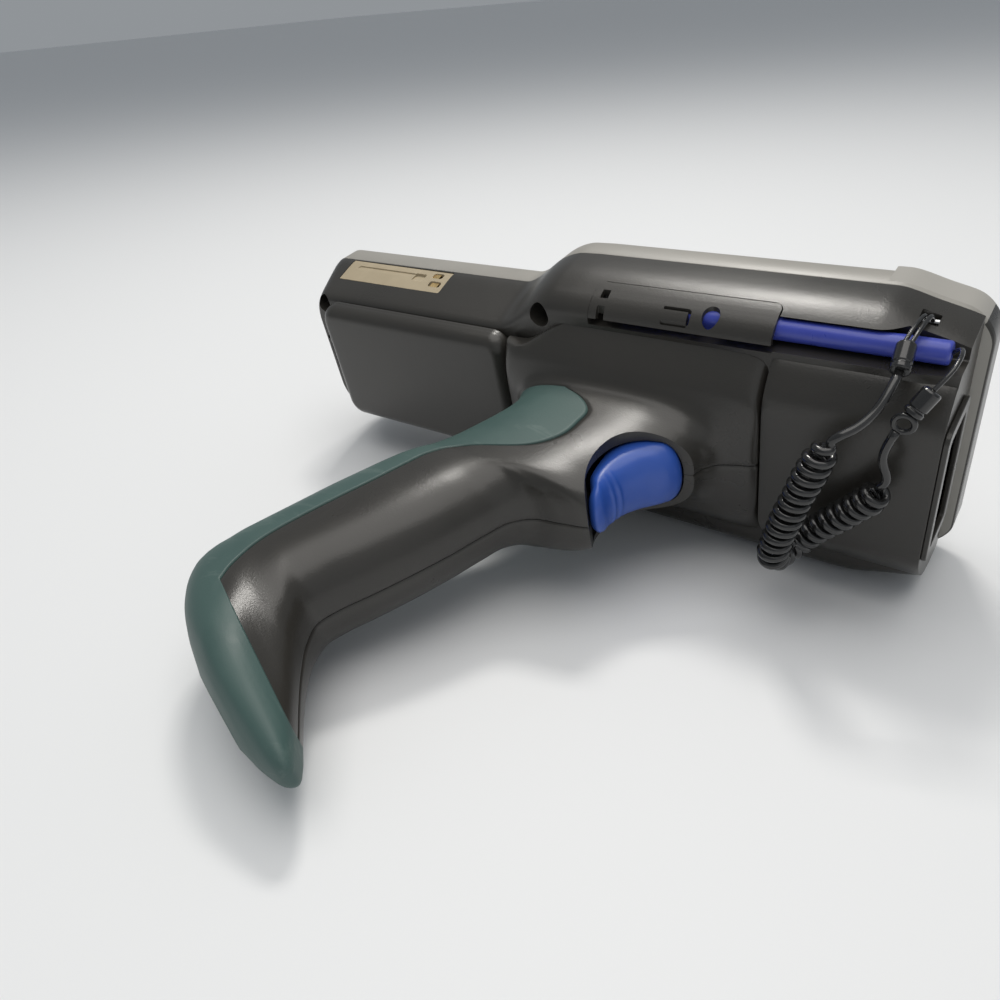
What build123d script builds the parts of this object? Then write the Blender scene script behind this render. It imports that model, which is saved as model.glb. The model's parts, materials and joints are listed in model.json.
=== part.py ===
from build123d import *
import math
import os

# Handheld data collector with a pistol grip and a tethered stylus, in millimetres.
# Device axes: x runs from the keypad end to the scanner end, +y points out of the
# screen, z is across the device. The finished part is then laid on its left side.

# Body
length = 235.0
keypad_half = 30.3           # half width over the keypad
head_half = 43.8             # half width over the display
front_half = 37.0            # half width at the scanner end
neck_start = 95.0
neck_end = 117.0
taper_start = 212.0          # where the head's sides turn in
bezel_thick = 10.3
end_radius = 7.0             # plan corners at the keypad end
wall = 2.2
lip = 2.0                    # front wall of the bezel
keypad_depth = 21.0
end_step = 3.2               # from the bezel's end back to the rear housing's end wall
end_lean = 6.4               # how far the keypad end leans in over its depth
head_end = length - end_step
keypad_side = [(0, 0), (11.3, 2.8), (keypad_depth, 5.8)]                     # depth, drop
head_side = [(0, 0), (9, 0.6), (13.5, 1.6), (18.5, 3.4), (22, 6.5), (23.2, 9.3), (22.8, 12.6)]
head_depth = head_side[-1][0]

# Clearances
seat = 0.05                  # between pieces that are fixed together
gap = 0.3                    # between pieces that move
slide_gap = 0.4

# Bumper round the head
bumper_start = 206.0
bumper_rise = 2.4
bumper_skin = 1.6

# Display and keypad
window_start, window_end = 128.0, 202.0
window_half = 28.0
glass_margin = 4.0
glass_thick = 1.5
gasket_thick = 0.5
module_thick = 5.0
key_travel = 0.9
key_hole_clear = 0.35
key_flange = 0.8
key_rows = 5
keys_in_row = 5
key_length, key_width = 8.0, 7.6
key_pitch_x, key_pitch_z = 12.0, 10.4
key_rise = 1.6               # height of the keys over the bezel
first_row = 22.0
control_row = 86.0
control_length = 9.0
scan_key_half = 9.0
side_key_place = 17.5
top_row = 104.0
power_key_radius = 3.6
mat_thick = 1.2
board_thick = 1.6

# Battery and its well
well_start, well_end = 22.0, 99.6
well_half = 21.8
well_floor = 9.0             # depth of the well's floor below the parting plane
cover_overlap_start, cover_overlap_end = 8.0, 0.6     # how far the battery covers its well's ends
battery_cover_start, battery_cover_end = well_start - cover_overlap_start, well_end + cover_overlap_end
battery_cover_half = 24.4
battery_crown = 7.0
battery_wall = 1.4
contact_inset = 7.6          # middle of the contacts, back from the well's end
contact_x = well_end - contact_inset
contact_rows = (-9.0, -3.0, 3.0, 9.0)
contact_half_length, contact_half_width, contact_thick = 1.2, 0.7, 1.45
terminal_half_length, terminal_half_width = 1.8, 1.0
terminal_board_half, terminal_board_thick = (5.0, 14.0), 1.95
cell_clear = 6.0             # from the contacts' middle to the cell
latch_start, latch_end = 9.0, 13.0
latch_half = 7.6
latch_travel = 1.6
latch_seat = 2.6             # how deep the latch lies in the housing
latch_proud = 1.8
latch_ribs, latch_rib_inset, latch_rib_pitch, latch_rib_width = 2, 1.0, 1.2, 0.5
catch_thick, catch_half = 1.8, 5.0
latch_spring_x = (9.4, 13.4)

# Screws along y
screw_radius = 1.45
screw_head_radius = 2.8
screw_head_height = 2.4
boss_wall = 2.2
neck_screw_x, neck_screw_z = 113.5, 32.5
end_screw_x, end_screw_z = 11.0, 21.5
front_screw_x, front_screw_z = 211.0, 25.0
recess_radius = 3.7
recess_floor = 9.0           # depth of the screw seats below the parting plane

# Scanner
block_start = 187.3
block_depth = 30.0
block_side = [(22.9, 31.0), (24.5, 29.5), (26.2, 27.4), (28.6, 24.5), (block_depth, 20.0)]  # depth, half
frame_thick = 1.5
frame_outer = (7.0, 29.5, 21.0)      # nearest and farthest depth, half width
frame_inner = (10.5, 26.0, 17.5)
glass_window = 1.2
engine_length, engine_half, engine_near, engine_far = 21.0, 10.0, 13.0, 27.0
engine_clear = 3.4           # between the engine and the window
engine_end = head_end - glass_window - engine_clear
lens_z, lens_radius, lens_bore_length = -4.5, 4.0, 7.0

# Stylus and its channel
stylus_radius = 3.0
stylus_depth = 17.0
stylus_inset = 7.3           # stylus axis, in from the head's side
stylus_z = head_half - stylus_inset
stylus_start, stylus_end = 134.0, 228.4
stylus_tip_length = 7.0
channel_low, channel_high = stylus_z - stylus_radius - 0.5, stylus_z + stylus_radius + 1.0
channel_depth = stylus_depth - stylus_radius - 0.6
cover_start, cover_end = 131.5, 187.0
cover_thick = 1.8
cover_low = channel_low + 0.4
peg_holes = [(18.2, 4.5), (22.6, 0.9)]   # depth, and height over the stylus axis, of the square holes
peg_hole_x, peg_hole_half = (134.4, 137.0), 1.4
sight_hole_x, sight_hole_radius = 169.2, 2.5
spring_slot_x, spring_slot_depth, spring_slot_width = (155.0, 163.4), (19.2, 22.4), 0.8

# Grip
saddle_start, saddle_end = 100.8, 187.0
saddle_side = [(22.9, 31.0), (25.3, 28.0), (29.0, 23.5), (30.5, 18.0), (31.0, 10.0)]        # depth, half
saddle_narrow = 23.5         # half width of the saddle beside the battery
grip_wall = 4.0
rubber_thick = 1.8
split = 0.0                  # plane where the two grip shells meet
# Each station of the grip: rear point, front point (both x, y), half width, corner radius
grip_stations = [
    ((108.0, -30.8), (183.0, -30.8), 20.5, 15.0),
    ((108.5, -38.0), (173.5, -36.5), 17.5, 14.0),
    ((104.0, -49.0), (153.0, -48.0), 16.0, 14.5),
    ((98.0, -62.0), (151.0, -62.0), 15.6, 14.5),
    ((95.0, -68.0), (156.0, -71.0), 15.4, 14.5),
    ((93.0, -72.0), (143.0, -76.0), 15.6, 14.5),
    ((90.0, -78.0), (132.5, -84.0), 16.2, 15.0),
    ((78.9, -105.1), (115.0, -122.0), 16.8, 15.5),
    ((74.6, -115.3), (110.4, -132.0), 16.8, 15.5),
    ((72.7, -119.9), (112.3, -138.4), 17.0, 14.0),
    ((70.7, -125.0), (120.3, -148.2), 17.4, 12.0),
    ((69.5, -132.2), (130.2, -160.5), 17.8, 10.0),
    ((72.5, -141.0), (139.7, -171.0), 17.6, 9.0),
    ((84.0, -152.0), (127.0, -172.5), 15.0, 7.5),
]
hollow_stations = 9          # stations that the grip's hollow passes through
rubber_outline = [
    (60, -36), (127, -36), (134.5, -38), (139.6, -43), (140.4, -50), (136.5, -58.5),
    (130.6, -63.5), (118.6, -66.7), (110.9, -71.3), (107.3, -76.3), (101.1, -93.9),
    (94.6, -109.9), (89.5, -123.9), (91.9, -142.9), (160, -174.6), (160, -190), (50, -190),
]
grip_screws_at = [(112.0, -84.0), (93.0, -124.0), (122.0, -52.0)]

# Trigger
pivot = (157.0, -38.0)
pivot_radius = 1.5
trigger_half = 10.8
trigger_hub = 4.2
trigger_front = [(166.4, -38.6), (170.0, -43.4), (165.8, -49.8), (161.2, -57.0), (159.2, -63.6), (158.4, -69.2)]
trigger_rear = [(153.8, -69.4), (152.2, -62.0), (152.0, -50.0), (152.8, -38.0)]
trigger_angle = 9.0
trigger_slot = (144.0, 180.0, -71.4, -33.4)
switch_rib = (134.4, 136.55, -58.0, -42.0)

# Small parts
plate_x, plate_near, plate_far, plate_thick = (12.5, 62.5), 0.6, 11.2, 1.2
plate_groove = (20.0, 44.0, -5.2, -3.8)
plate_recess = (45.0, 51.0, -6.6, -3.4)
pad_corners = [(54.0, -4.4), (56.0, -8.6)]
pad_length, pad_width = 3.4, 2.4
dock_near, dock_far, dock_half, dock_start, dock_length = 4.1, 10.9, 8.9, 3.4, 5.6
dock_socket_near, dock_socket_far, dock_socket_half, dock_socket_depth = 5.6, 9.4, 7.4, 2.0
board_half = 30.0
board_clear = 9.0            # from the keypad's side to the main board
board_x = (10.0, 222.0)
chip_places = [(150, 0, 16), (176, 12, 12), (176, -14, 10), (132, -14, 9), (36, 6, 8)]   # x, z, size
chip_thick = 1.25
backup_x, backup_radius, backup_thick = 60.0, 6.2, 3.15
antenna_x, antenna_z, antenna_thick = (184.0, 197.0), (20.0, 28.5), 4.45
speaker_x, speaker_radius, speaker_thick = 217.4, 8.5, 3.6
speaker_slots, speaker_slot_start, speaker_slot_pitch, speaker_slot_width, speaker_slot_half = 5, 212.0, 2.4, 1.1, 7.0
driver_half = 1.2            # square recess in the screw heads
grip_screw_reach = 10.0
switch_x, switch_y, switch_half = (138.5, 145.0), (-56.0, -46.0), 4.0
plunger_x, plunger_y, plunger_half = 146.2, (-53.0, -51.0), 2.0
switch_board_x, switch_board_y, switch_board_half = (136.6, 138.45), (-62.0, -38.0), 9.0
spring_x, spring_y, spring_radius, spring_bore = (138.5, 147.7), -61.0, 2.4, 1.8
pin_reach = 12.6

# Tether
strand_radius = 0.55         # thin line at the anchor and at the stylus
lead_radius = 1.0            # coated cord of the coil
coil_radius = 4.5            # outside of the coiled stretch
ferrule_radius = 2.6
anchor_x, anchor_depth, anchor_z = 221.0, 8.7, 39.4
anchor_half = 2.3
anchor_pin_radius = 0.8
anchor_route = [(0.0, -8.7, 39.6), (-0.1, -11.0, 42.6), (-0.8, -16.8, 42.5), (-1.7, -22.6, 40.6)]
strand_step = 1.5
ferrule_a = [(219.3, -22.6, 40.6), (220.0, -30.2, 37.4)]
lead_a_route = [
    (220.0, -30.2, 37.4), (219.6, -34.8, 35.0), (217.8, -39.2, 31.0),
    (215.0, -43.2, 28.6), (212.2, -45.6, 27.6), (209.9, -46.4, 25.2),
]
coil_route = [
    (221.6, -36.3, 6.5), (214.4, -36.0, -2.6), (207.4, -36.8, -9.6), (200.8, -37.6, -18.0),
    (198.2, -48.6, -16.4), (200.2, -49.2, -5.4), (204.2, -48.0, 8.6), (209.6, -46.4, 24.6),
]
lead_b_route = [
    (222.0, -36.3, 7.2), (222.0, -36.6, 12.0), (220.4, -37.2, 16.4), (220.8, -37.0, 21.0), (222.6, -36.8, 25.8),
]
eyelet_place = (223.9, -36.6, 28.0)
eyelet_radius, eyelet_wire = 2.3, 0.75
ferrule_b = [(225.0, -35.9, 30.3), (228.3, -32.8, 35.8)]
loop_b_route = [
    (228.3, -32.8, 35.8), (231.0, -28.8, 39.4), (231.4, -23.6, 40.4), (230.6, -19.2, 39.6), (228.4, -17.0, 36.6),
]


# --- helpers -------------------------------------------------------------------

def block(x0, x1, y0, y1, z0, z1):
    # Box between two corners.
    solid = Box(x1 - x0, y1 - y0, z1 - z0)
    return Pos((x0 + x1) / 2, (y0 + y1) / 2, (z0 + z1) / 2) * solid


def rod(start, end, radius):
    # Round bar from one point to another.
    start, end = Vector(start), Vector(end)
    plane = Plane(origin=start, z_dir=end - start)
    return extrude(plane * Circle(radius), amount=(end - start).length)


def pin_y(x, z, radius, y0, y1):
    return rod((x, y0, z), (x, y1, z), radius)


def plan(sketch, y0, y1):
    # Sketch in x and z, between two levels of y.
    return extrude(Plane.XZ.offset(-y1) * sketch, amount=y1 - y0)


def along(sketch, x0, x1):
    # Sketch in y and z, between two stations of x.
    return extrude(Plane.YZ.offset(x0) * sketch, amount=x1 - x0)


def across(sketch, z0, z1):
    # Sketch in x and y, between two levels of z.
    return extrude(Plane.XY.offset(z0) * sketch, amount=z1 - z0)


def outline_face(points):
    return make_face(Polyline(*points, close=True))


def mirrored(half):
    # Closed outline from one half, mirrored across z = 0.
    return outline_face(half + [(a, -b) for a, b in reversed(half)])


def body_plan(inset=0.0):
    # Outline of the body seen from the screen side.
    half = [
        (inset, keypad_half - inset),
        (neck_start, keypad_half - inset),
        (neck_end, head_half - inset),
        (taper_start, head_half - inset),
        (length - inset, front_half - inset),
    ]
    face = mirrored(half)
    ends = [v for v in face.vertices() if v.X < inset + 1]
    face = fillet(ends, end_radius - inset)
    bends = [v for v in face.vertices() if neck_start - 2 < v.X < taper_start + 2]
    return fillet(bends, 8.0)


def side_section(half_width, side, inset=0.0, top=0.0):
    # Section across the body below the parting plane.
    points = [(top, half_width - inset)]
    points += [(inset - depth, half_width - drop - inset) for depth, drop in side[1:]]
    return mirrored(points)


def housing_form(inset=0.0, top=0.0, end=head_end):
    # Outside of the rear housing, or its hollow when inset.
    keypad = along(side_section(keypad_half, keypad_side, inset, top), inset, neck_start)
    neck = along(side_section(head_half, keypad_side, inset, top), neck_start, saddle_start + inset)
    head = along(side_section(head_half, head_side, inset, top), saddle_start + inset, end - inset)
    return (keypad + neck + head) & plan(body_plan(inset), -40, 1) & end_limit(inset)


def end_limit(inset=0.0):
    # Everything on the scanner's side of the leaning keypad end.
    foot, top = (inset, 1), (inset + 2 * end_lean, -2 * keypad_depth)
    return across(outline_face([foot, (inset, 0), top, (length + 1, -2 * keypad_depth), (length + 1, 1)]), -60, 60)


def screw_places():
    # Position and boss radius of the screws on the z > 0 side.
    return [
        (neck_screw_x, neck_screw_z),
        (end_screw_x, end_screw_z),
        (front_screw_x, front_screw_z),
    ]


def both_sides(places):
    return [(x, side * z) for x, z in places for side in (1, -1)]


def keys():
    # Name of each key node, with the (x, z, length, width) of its keys.
    table = {}
    middle = (keys_in_row - 1) / 2
    for row in range(key_rows):
        x = first_row + row * key_pitch_x
        table[f"keys_row_{row + 1}"] = [
            (x, (i - middle) * key_pitch_z, key_length, key_width) for i in range(keys_in_row)
        ]
    table["scan_key"] = [(control_row, 0, control_length, 2 * scan_key_half)]
    table["left_key"] = [(control_row, side_key_place, control_length, key_width)]
    table["right_key"] = [(control_row, -side_key_place, control_length, key_width)]
    table["enter_key"] = [(top_row, 8.0, key_length, 2 * key_width)]
    return table


power_key_place = (top_row, -10.0)


def grip_form(inset=0.0, stations=None):
    # The grip as a stack of rounded sections, or its hollow when inset.
    faces = []
    for (rear, front, half, radius) in grip_stations[:stations]:
        rear, front = Vector(*rear), Vector(*front)
        run = front - rear
        normal = run.cross(Vector(0, 0, 1))
        middle = (rear + front) / 2
        plane = Plane(origin=middle, x_dir=run, z_dir=normal)
        size = RectangleRounded(run.length - 2 * inset, 2 * (half - inset), radius - inset)
        faces.append(plane * size)
    return loft(faces, ruled=True)


def resting_side(side, inset):
    # Half section of a cover on the housing's back, whose hollow runs past its open face.
    half = [(inset - depth, wide - inset) for depth, wide in side]
    half[0] = (2 * inset - side[0][0] - seat, side[0][1] - inset)
    return half


def saddle_form(inset=0.0):
    # The part of the grip shells that lies on the housing's back.
    half = resting_side(saddle_side, inset)
    solid = along(mirrored(half), saddle_start + inset, saddle_end - inset)
    start = saddle_start + inset
    limits = [(start, saddle_narrow - inset), (neck_end, saddle_side[0][1] - inset)]
    limits.append((saddle_end, saddle_side[0][1] - inset))
    return solid & plan(mirrored(limits), -40, 0)


def tube(route, radius, name):
    # Round cord along straight runs joined by arcs as large as the runs allow.
    points = [Vector(*p) for p in route]
    radii = []
    for a, b, c in zip(points, points[1:], points[2:]):
        before, after = b - a, c - b
        half_turn = math.radians(before.get_angle(after)) / 2
        radii.append(0.45 * min(before.length, after.length) / math.tan(half_turn))
    path = Wire(corner_arcs(points, radii))
    section = Plane(origin=points[0], z_dir=points[1] - points[0]) * Circle(radius)
    solid = sweep(section, path=path)
    expected = math.pi * radius ** 2 * path.length
    print(name, "radii", [round(r, 1) for r in radii], "length", round(path.length, 1),
          "volume ratio", round(solid.volume / expected, 4))
    return solid


def corner_arcs(points, radii):
    # Edges of a polyline whose corners are rounded, each by its own radius.
    edges = []
    last = points[0]
    for (a, b, c), radius in zip(zip(points, points[1:], points[2:]), radii):
        into, out = (b - a).normalized(), (c - b).normalized()
        half_turn = math.radians(into.get_angle(out)) / 2
        cut = radius * math.tan(half_turn)
        start, end = b - into * cut, b + out * cut
        edges.append(Edge.make_line(last, start))
        edges.append(Edge.make_tangent_arc(start, into, end))
        last = end
    edges.append(Edge.make_line(last, points[-1]))
    return edges


# --- front ---------------------------------------------------------------------

def front_bezel():
    shell = plan(body_plan(), seat, bezel_thick) - plan(body_plan(wall), -1, bezel_thick - lip)
    shell -= block(window_start, window_end, 0, bezel_thick + 1, -window_half, window_half)
    for places in keys().values():
        for x, z, size_x, size_z in places:
            half_x = size_x / 2 + key_hole_clear
            half_z = size_z / 2 + key_hole_clear
            shell -= block(x - half_x, x + half_x, 0, bezel_thick + 1, z - half_z, z + half_z)
    shell -= pin_y(*power_key_place, power_key_radius + key_hole_clear, 0, bezel_thick + 1)
    for x, z in both_sides(screw_places()):
        boss = pin_y(x, z, screw_radius + boss_wall, seat, bezel_thick - lip)
        shell += boss
        shell -= pin_y(x, z, screw_radius + seat, -1, bezel_thick - lip - 0.5)
    for i in range(speaker_slots):
        x = speaker_slot_start + i * speaker_slot_pitch
        shell -= block(x, x + speaker_slot_width, 0, bezel_thick + 1, -speaker_slot_half, speaker_slot_half)
    shell -= bumper_ring(seat)
    return shell


def bumper_ring(clear=0.0):
    # Band set into the bezel's edge around the scanner end.
    top = bezel_thick + bumper_rise
    band = plan(body_plan(), 1.6 - clear, top) - plan(body_plan(bumper_skin + clear), 0, top + 1)
    return band & block(bumper_start - clear, length + 1, 0, 40, -60, 60)


def head_bumper():
    ring = bumper_ring()
    top = bezel_thick + bumper_rise
    cap = plan(body_plan(), bezel_thick + seat, top) - plan(body_plan(6.0), 0, top + 1)
    cap = cap & block(bumper_start, length + 1, 0, 40, -60, 60)
    return ring + cap


glass_level = bezel_thick - lip - gasket_thick       # outer face of the glass


def display_glass():
    margin = glass_margin
    return block(window_start - margin, window_end + margin, glass_level - glass_thick, glass_level,
                 -window_half - margin, window_half + margin)


def display_gasket():
    margin = glass_margin - 0.5
    y0, y1 = glass_level, bezel_thick - lip
    ring = block(window_start - margin, window_end + margin, y0, y1, -window_half - margin, window_half + margin)
    inner = 0.8
    return ring - block(window_start - inner, window_end + inner, y0 - 1, y1 + 1,
                        -window_half - inner, window_half + inner)


def display_module():
    y1 = glass_level - glass_thick - seat
    frame = block(window_start - 3, window_end + 3, y1 - module_thick, y1, -window_half - 3, window_half + 3)
    return frame


def key_level():
    # Underside of the keys' flanges.
    return bezel_thick - lip - gap - 1.1


def key_node(places):
    low, high = key_level(), bezel_thick + key_rise
    solids = []
    for x, z, size_x, size_z in places:
        cap = block(x - size_x / 2, x + size_x / 2, low, high, z - size_z / 2, z + size_z / 2)
        top = cap.faces().sort_by(Axis.Y)[-1]
        cap = fillet(top.edges(), 0.6)
        half_x, half_z = size_x / 2 + key_flange, size_z / 2 + key_flange
        flange = block(x - half_x, x + half_x, low, low + 1.1, z - half_z, z + half_z)
        solids.append((cap + flange).solids()[0])
    return Compound(children=solids) if len(solids) > 1 else solids[0]


def power_key():
    low, high = key_level(), bezel_thick + key_rise - 0.6
    cap = pin_y(*power_key_place, power_key_radius, low, high)
    return cap + pin_y(*power_key_place, power_key_radius + key_flange, low, low + 1.1)


mat_top = key_level() - key_travel - gap


def keypad_mat():
    half = keypad_half - wall - 1.0
    mat = block(12, 111, mat_top - mat_thick, mat_top, -half, half)
    return mat - end_boss_room()


def keypad_board():
    y1 = mat_top - mat_thick - seat
    half = keypad_half - wall - gap
    board = block(11.5, 112, y1 - board_thick, y1, -half, half)
    return board - end_boss_room()


def end_boss_room():
    # Notches of the keypad's sheets round the screw bosses at the keypad end.
    x, z = end_screw_x, end_screw_z
    radius = screw_radius + boss_wall + gap
    return [block(0, x + radius, 0, bezel_thick, *sorted((side * (z - radius), side * 40))) for side in (1, -1)]


# --- rear housing and what it holds ------------------------------------------------

def window_opening():
    near, far, half = frame_inner
    return block(head_end - 6, length + 5, -far, -near, -half, half)


def anchor_pocket(skin=0.0):
    half = anchor_half + skin
    return block(anchor_x - half, anchor_x + half, -anchor_depth - half, -anchor_depth + half, 36.2 - skin, 46)


def cover_form(clear=0.0):
    # Stylus cover: a panel of the housing's own surface over the stylus bore.
    shell = housing_form() - housing_form(cover_thick + clear)
    return shell & block(cover_start - clear, cover_end + clear, -head_depth - 2, -channel_depth + clear,
                         cover_low - clear, 60)


def rear_housing():
    shell = housing_form() - housing_form(wall, 1)
    tub = block(well_start - 2, well_end + 2, -keypad_depth, 1.6 - well_floor, -24, 24)
    pocket_skin = anchor_pocket(2.0) & housing_form()
    channel_skin = block(cover_start - 3, head_end, -head_depth, 2 - channel_depth,
                         channel_low - 2, channel_high + 2) & housing_form()
    shell += tub & housing_form()
    shell += pocket_skin + channel_skin
    for x, z in both_sides(screw_places()):
        shell += pin_y(x, z, recess_radius + boss_wall, -40, -seat) & housing_form()
    shell -= block(well_start, well_end, -40, -well_floor, -well_half, well_half)
    shell -= block(block_start, length + 1, -40, -channel_depth, channel_low, channel_high)
    bore = (-stylus_depth, stylus_z)
    shell -= rod((stylus_start - 1, *bore), (block_start + 1, *bore), stylus_radius + gap)
    shell -= cover_form(seat)
    shell -= anchor_pocket()
    for x, z in both_sides(screw_places()):
        shell -= pin_y(x, z, recess_radius, -60, -recess_floor)
        shell -= pin_y(x, z, screw_radius + seat, -20, 1)
    shell -= block(latch_start - latch_travel - gap, battery_cover_start, -keypad_depth - 1, -keypad_depth + latch_seat,
                   -latch_half - gap, latch_half + gap)
    shell -= block(block_start + 8, head_end - wall - 1.5, -40, -wall, -20, 20)
    shell -= window_opening()
    shell -= plate_form(seat)
    for z in contact_rows:
        shell -= contact_block(z, seat)
    near, far, half = dock_near - 2 * seat, dock_far + 2 * seat, dock_half + 2 * seat
    shell -= block(-1, dock_start + dock_length, -far, -near, -half, half)
    return shell


def stylus_cover():
    cover = cover_form()
    for depth, rise in peg_holes:
        z = stylus_z + rise
        cover -= block(*peg_hole_x, -depth - peg_hole_half, -depth + peg_hole_half, z - 5, z + 5)
    bore = (-stylus_depth, stylus_z)
    cover -= rod((stylus_start - 1, *bore), (cover_end + 1, *bore), stylus_radius + gap)
    x = sight_hole_x
    cover -= rod((x, -stylus_depth, stylus_z), (x, -stylus_depth - 9, stylus_z + 8), sight_hole_radius)
    return cover - spring_slot()


def spring_slot():
    # Slot round three sides of the springy tongue that holds the stylus.
    (start, end), (near, far), width = spring_slot_x, spring_slot_depth, spring_slot_width
    low, high = cover_low + 0.6, head_half + 2
    slot = block(start, end, -far, -far + width, low, high) + block(start, end, -near - width, -near, low, high)
    return slot + block(end - width, end, -far, -near, low, high)


def plate_form(clear=0.0):
    # Flat contact plate let into the side of the housing beside the keypad.
    slab = housing_form() - housing_form(plate_thick + clear)
    return slab & block(plate_x[0] - clear, plate_x[1] + clear, -plate_far - clear, -plate_near + clear, 10, 60)


def contact_plate():
    plate = plate_form()
    plate -= block(*plate_groove, 10, 60) - plan(body_plan(0.5), -40, 1)
    for pad in pad_blocks(seat):
        plate -= pad
    return plate - block(*plate_recess, 10, 60)


def pad_blocks(clear=0.0):
    # Places of the contact pads, through the plate.
    return [block(x - clear, x + pad_length + clear, y - clear, y + pad_width + clear, 10, 60) for x, y in pad_corners]


def contact_pads():
    return Compound(children=[(pad & plate_form()).solids()[0] for pad in pad_blocks()])


def housing_screws():
    screws = []
    for x, z in both_sides(screw_places()):
        y = -recess_floor - seat
        screw = pin_y(x, z, screw_radius, y, 6.5) + pin_y(x, z, screw_head_radius, y - screw_head_height, y)
        slot = block(x - driver_half, x + driver_half, y - 4, y - 1.2, z - driver_half, z + driver_half)
        screws.append((screw - slot).solids()[0])
    return Compound(children=screws)


def tether_anchor_pin():
    reach = anchor_half - seat
    y, z = -anchor_depth, anchor_z
    return rod((anchor_x - reach, y, z), (anchor_x + reach, y, z), anchor_pin_radius)


def docking_connector():
    body = block(dock_start, dock_start + dock_length, -dock_far, -dock_near, -dock_half, dock_half)
    half = dock_socket_half
    return body - block(dock_start - 1, dock_start + dock_socket_depth, -dock_socket_far, -dock_socket_near, -half, half)


def main_board():
    top = -well_floor + 1.6 + seat
    half = keypad_half - board_clear
    edge = [(board_x[0], half), (neck_end, half), (neck_end + 8, board_half), (board_x[1], board_half)]
    board = plan(mirrored(edge), top, top + board_thick)
    for x, z in both_sides(screw_places()):
        board -= pin_y(x, z, recess_radius + boss_wall + gap, -20, 0)
    return board


board_top = 1.6 - well_floor + seat + board_thick


def backup_cell():
    return pin_y(backup_x, 0, backup_radius, board_top + seat, board_top + seat + backup_thick)


def speaker():
    y1 = bezel_thick - lip - seat
    return pin_y(speaker_x, 0, speaker_radius, y1 - speaker_thick, y1)


def antenna():
    return block(*antenna_x, board_top + seat, board_top + seat + antenna_thick, *antenna_z)


def board_parts():
    chips = []
    low = board_top + seat
    for x, z, size in chip_places:
        chips.append(block(x - size / 2, x + size / 2, low, low + chip_thick, z - size / 2, z + size / 2))
    return Compound(children=chips)


# --- battery -------------------------------------------------------------------

def battery_case(inset=0.0):
    low = keypad_depth + gap - inset * 0.5
    half = battery_cover_half - inset
    crown = battery_crown - inset
    side = [(low, half), (low + 2.2, half - 0.4), (low + 0.72 * crown, half - 4.2),
            (low + 0.92 * crown, half - 11), (low + crown, 8.0)]
    cover = along(mirrored([(-d, z) for d, z in side]), battery_cover_start + inset, battery_cover_end - inset)
    body = block(well_start + slide_gap + inset, well_end - slide_gap - inset, -low - 1,
                 -well_floor - slide_gap - inset, -well_half + slide_gap + inset, well_half - slide_gap - inset)
    return cover + body


def battery_pack():
    case = battery_case() - battery_case(battery_wall)
    half = terminal_half_length + 0.2
    for z in contact_rows:
        case -= block(contact_x - half, contact_x + half, -well_floor - 3, -well_floor,
                      z - terminal_half_width - 0.2, z + terminal_half_width + 0.2)
    return case


def battery_cell():
    inner = battery_wall + seat
    x0, x1 = well_start + slide_gap + inner, contact_x - cell_clear
    half = well_half - slide_gap - inner
    return block(x0, x1, -keypad_depth - 1.8, -well_floor - slide_gap - inner, -half, half)


def battery_terminals():
    solids = []
    half = terminal_half_length
    for z in contact_rows:
        solids.append(block(contact_x - half, contact_x + half, -well_floor - 2.4, -well_floor - slide_gap - 0.3,
                            z - terminal_half_width, z + terminal_half_width))
    half_x, half_z = terminal_board_half
    top = -well_floor - 2.4 - seat
    board = block(contact_x - half_x, contact_x + half_x, top - terminal_board_thick, top, -half_z, half_z)
    return Compound(children=solids + [board])


def contact_block(z, clear=0.0):
    # A contact of the housing, let into the floor of the battery well.
    half_x, half_z = contact_half_length + clear, contact_half_width + clear
    low = -well_floor + seat
    return block(contact_x - half_x, contact_x + half_x, low - 4 * clear, low + contact_thick + clear,
                 z - half_z, z + half_z)


def battery_contacts():
    return Compound(children=[contact_block(z) for z in contact_rows])


def battery_latch():
    top, bottom = -keypad_depth - latch_proud, -keypad_depth + latch_seat - gap
    slider = block(latch_start, latch_end, top, bottom, -latch_half, latch_half)
    slider = fillet(slider.edges().filter_by(Axis.Y), 1.5)
    for i in range(latch_ribs):
        x = latch_start + latch_rib_inset + i * latch_rib_pitch
        slider -= block(x, x + latch_rib_width, top - 1, top + 0.5, -latch_half + 2.1, latch_half - 2.1)
    catch = block(latch_end - 1, battery_cover_start - gap, bottom - catch_thick, bottom, -catch_half, catch_half)
    return slider + catch


def latch_spring():
    # Leaf spring behind the latch.
    y = -keypad_depth + latch_seat + seat
    x0, x1 = latch_spring_x
    return block(x0, x1, y, y + 0.4, -3, 3) + block(x1 - 1.0, x1, y + 0.4, y + 2.4, -3, 3)


# --- scanner -------------------------------------------------------------------

def block_form(inset=0.0):
    return along(mirrored(resting_side(block_side, inset)), block_start + inset, head_end - inset)


def scanner_cover():
    return block_form() - block_form(wall) - window_opening()


def scan_window():
    near, far, half = frame_inner
    return block(head_end - glass_window, head_end, -far + seat, -near - seat, -half + seat, half - seat)


def window_frame():
    (near, far, half), (near_in, far_in, half_in) = frame_outer, frame_inner
    x0, x1 = head_end + seat, head_end + seat + frame_thick
    frame = block(x0, x1, -far, -near, -half, half)
    edges = frame.edges().filter_by(Axis.X)
    frame = fillet(edges, 2.5)
    inner = 0.8
    return frame - block(x0 - 1, x1 + 1, -far_in + inner, -near_in - inner, -half_in + inner, half_in - inner)


def lens_bar(start, end, radius):
    # Round bar on the lens's axis, between two distances from the engine's end.
    y = -(engine_far + engine_near) / 2
    return rod((engine_end + start, y, lens_z), (engine_end + end, y, lens_z), radius)


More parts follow.
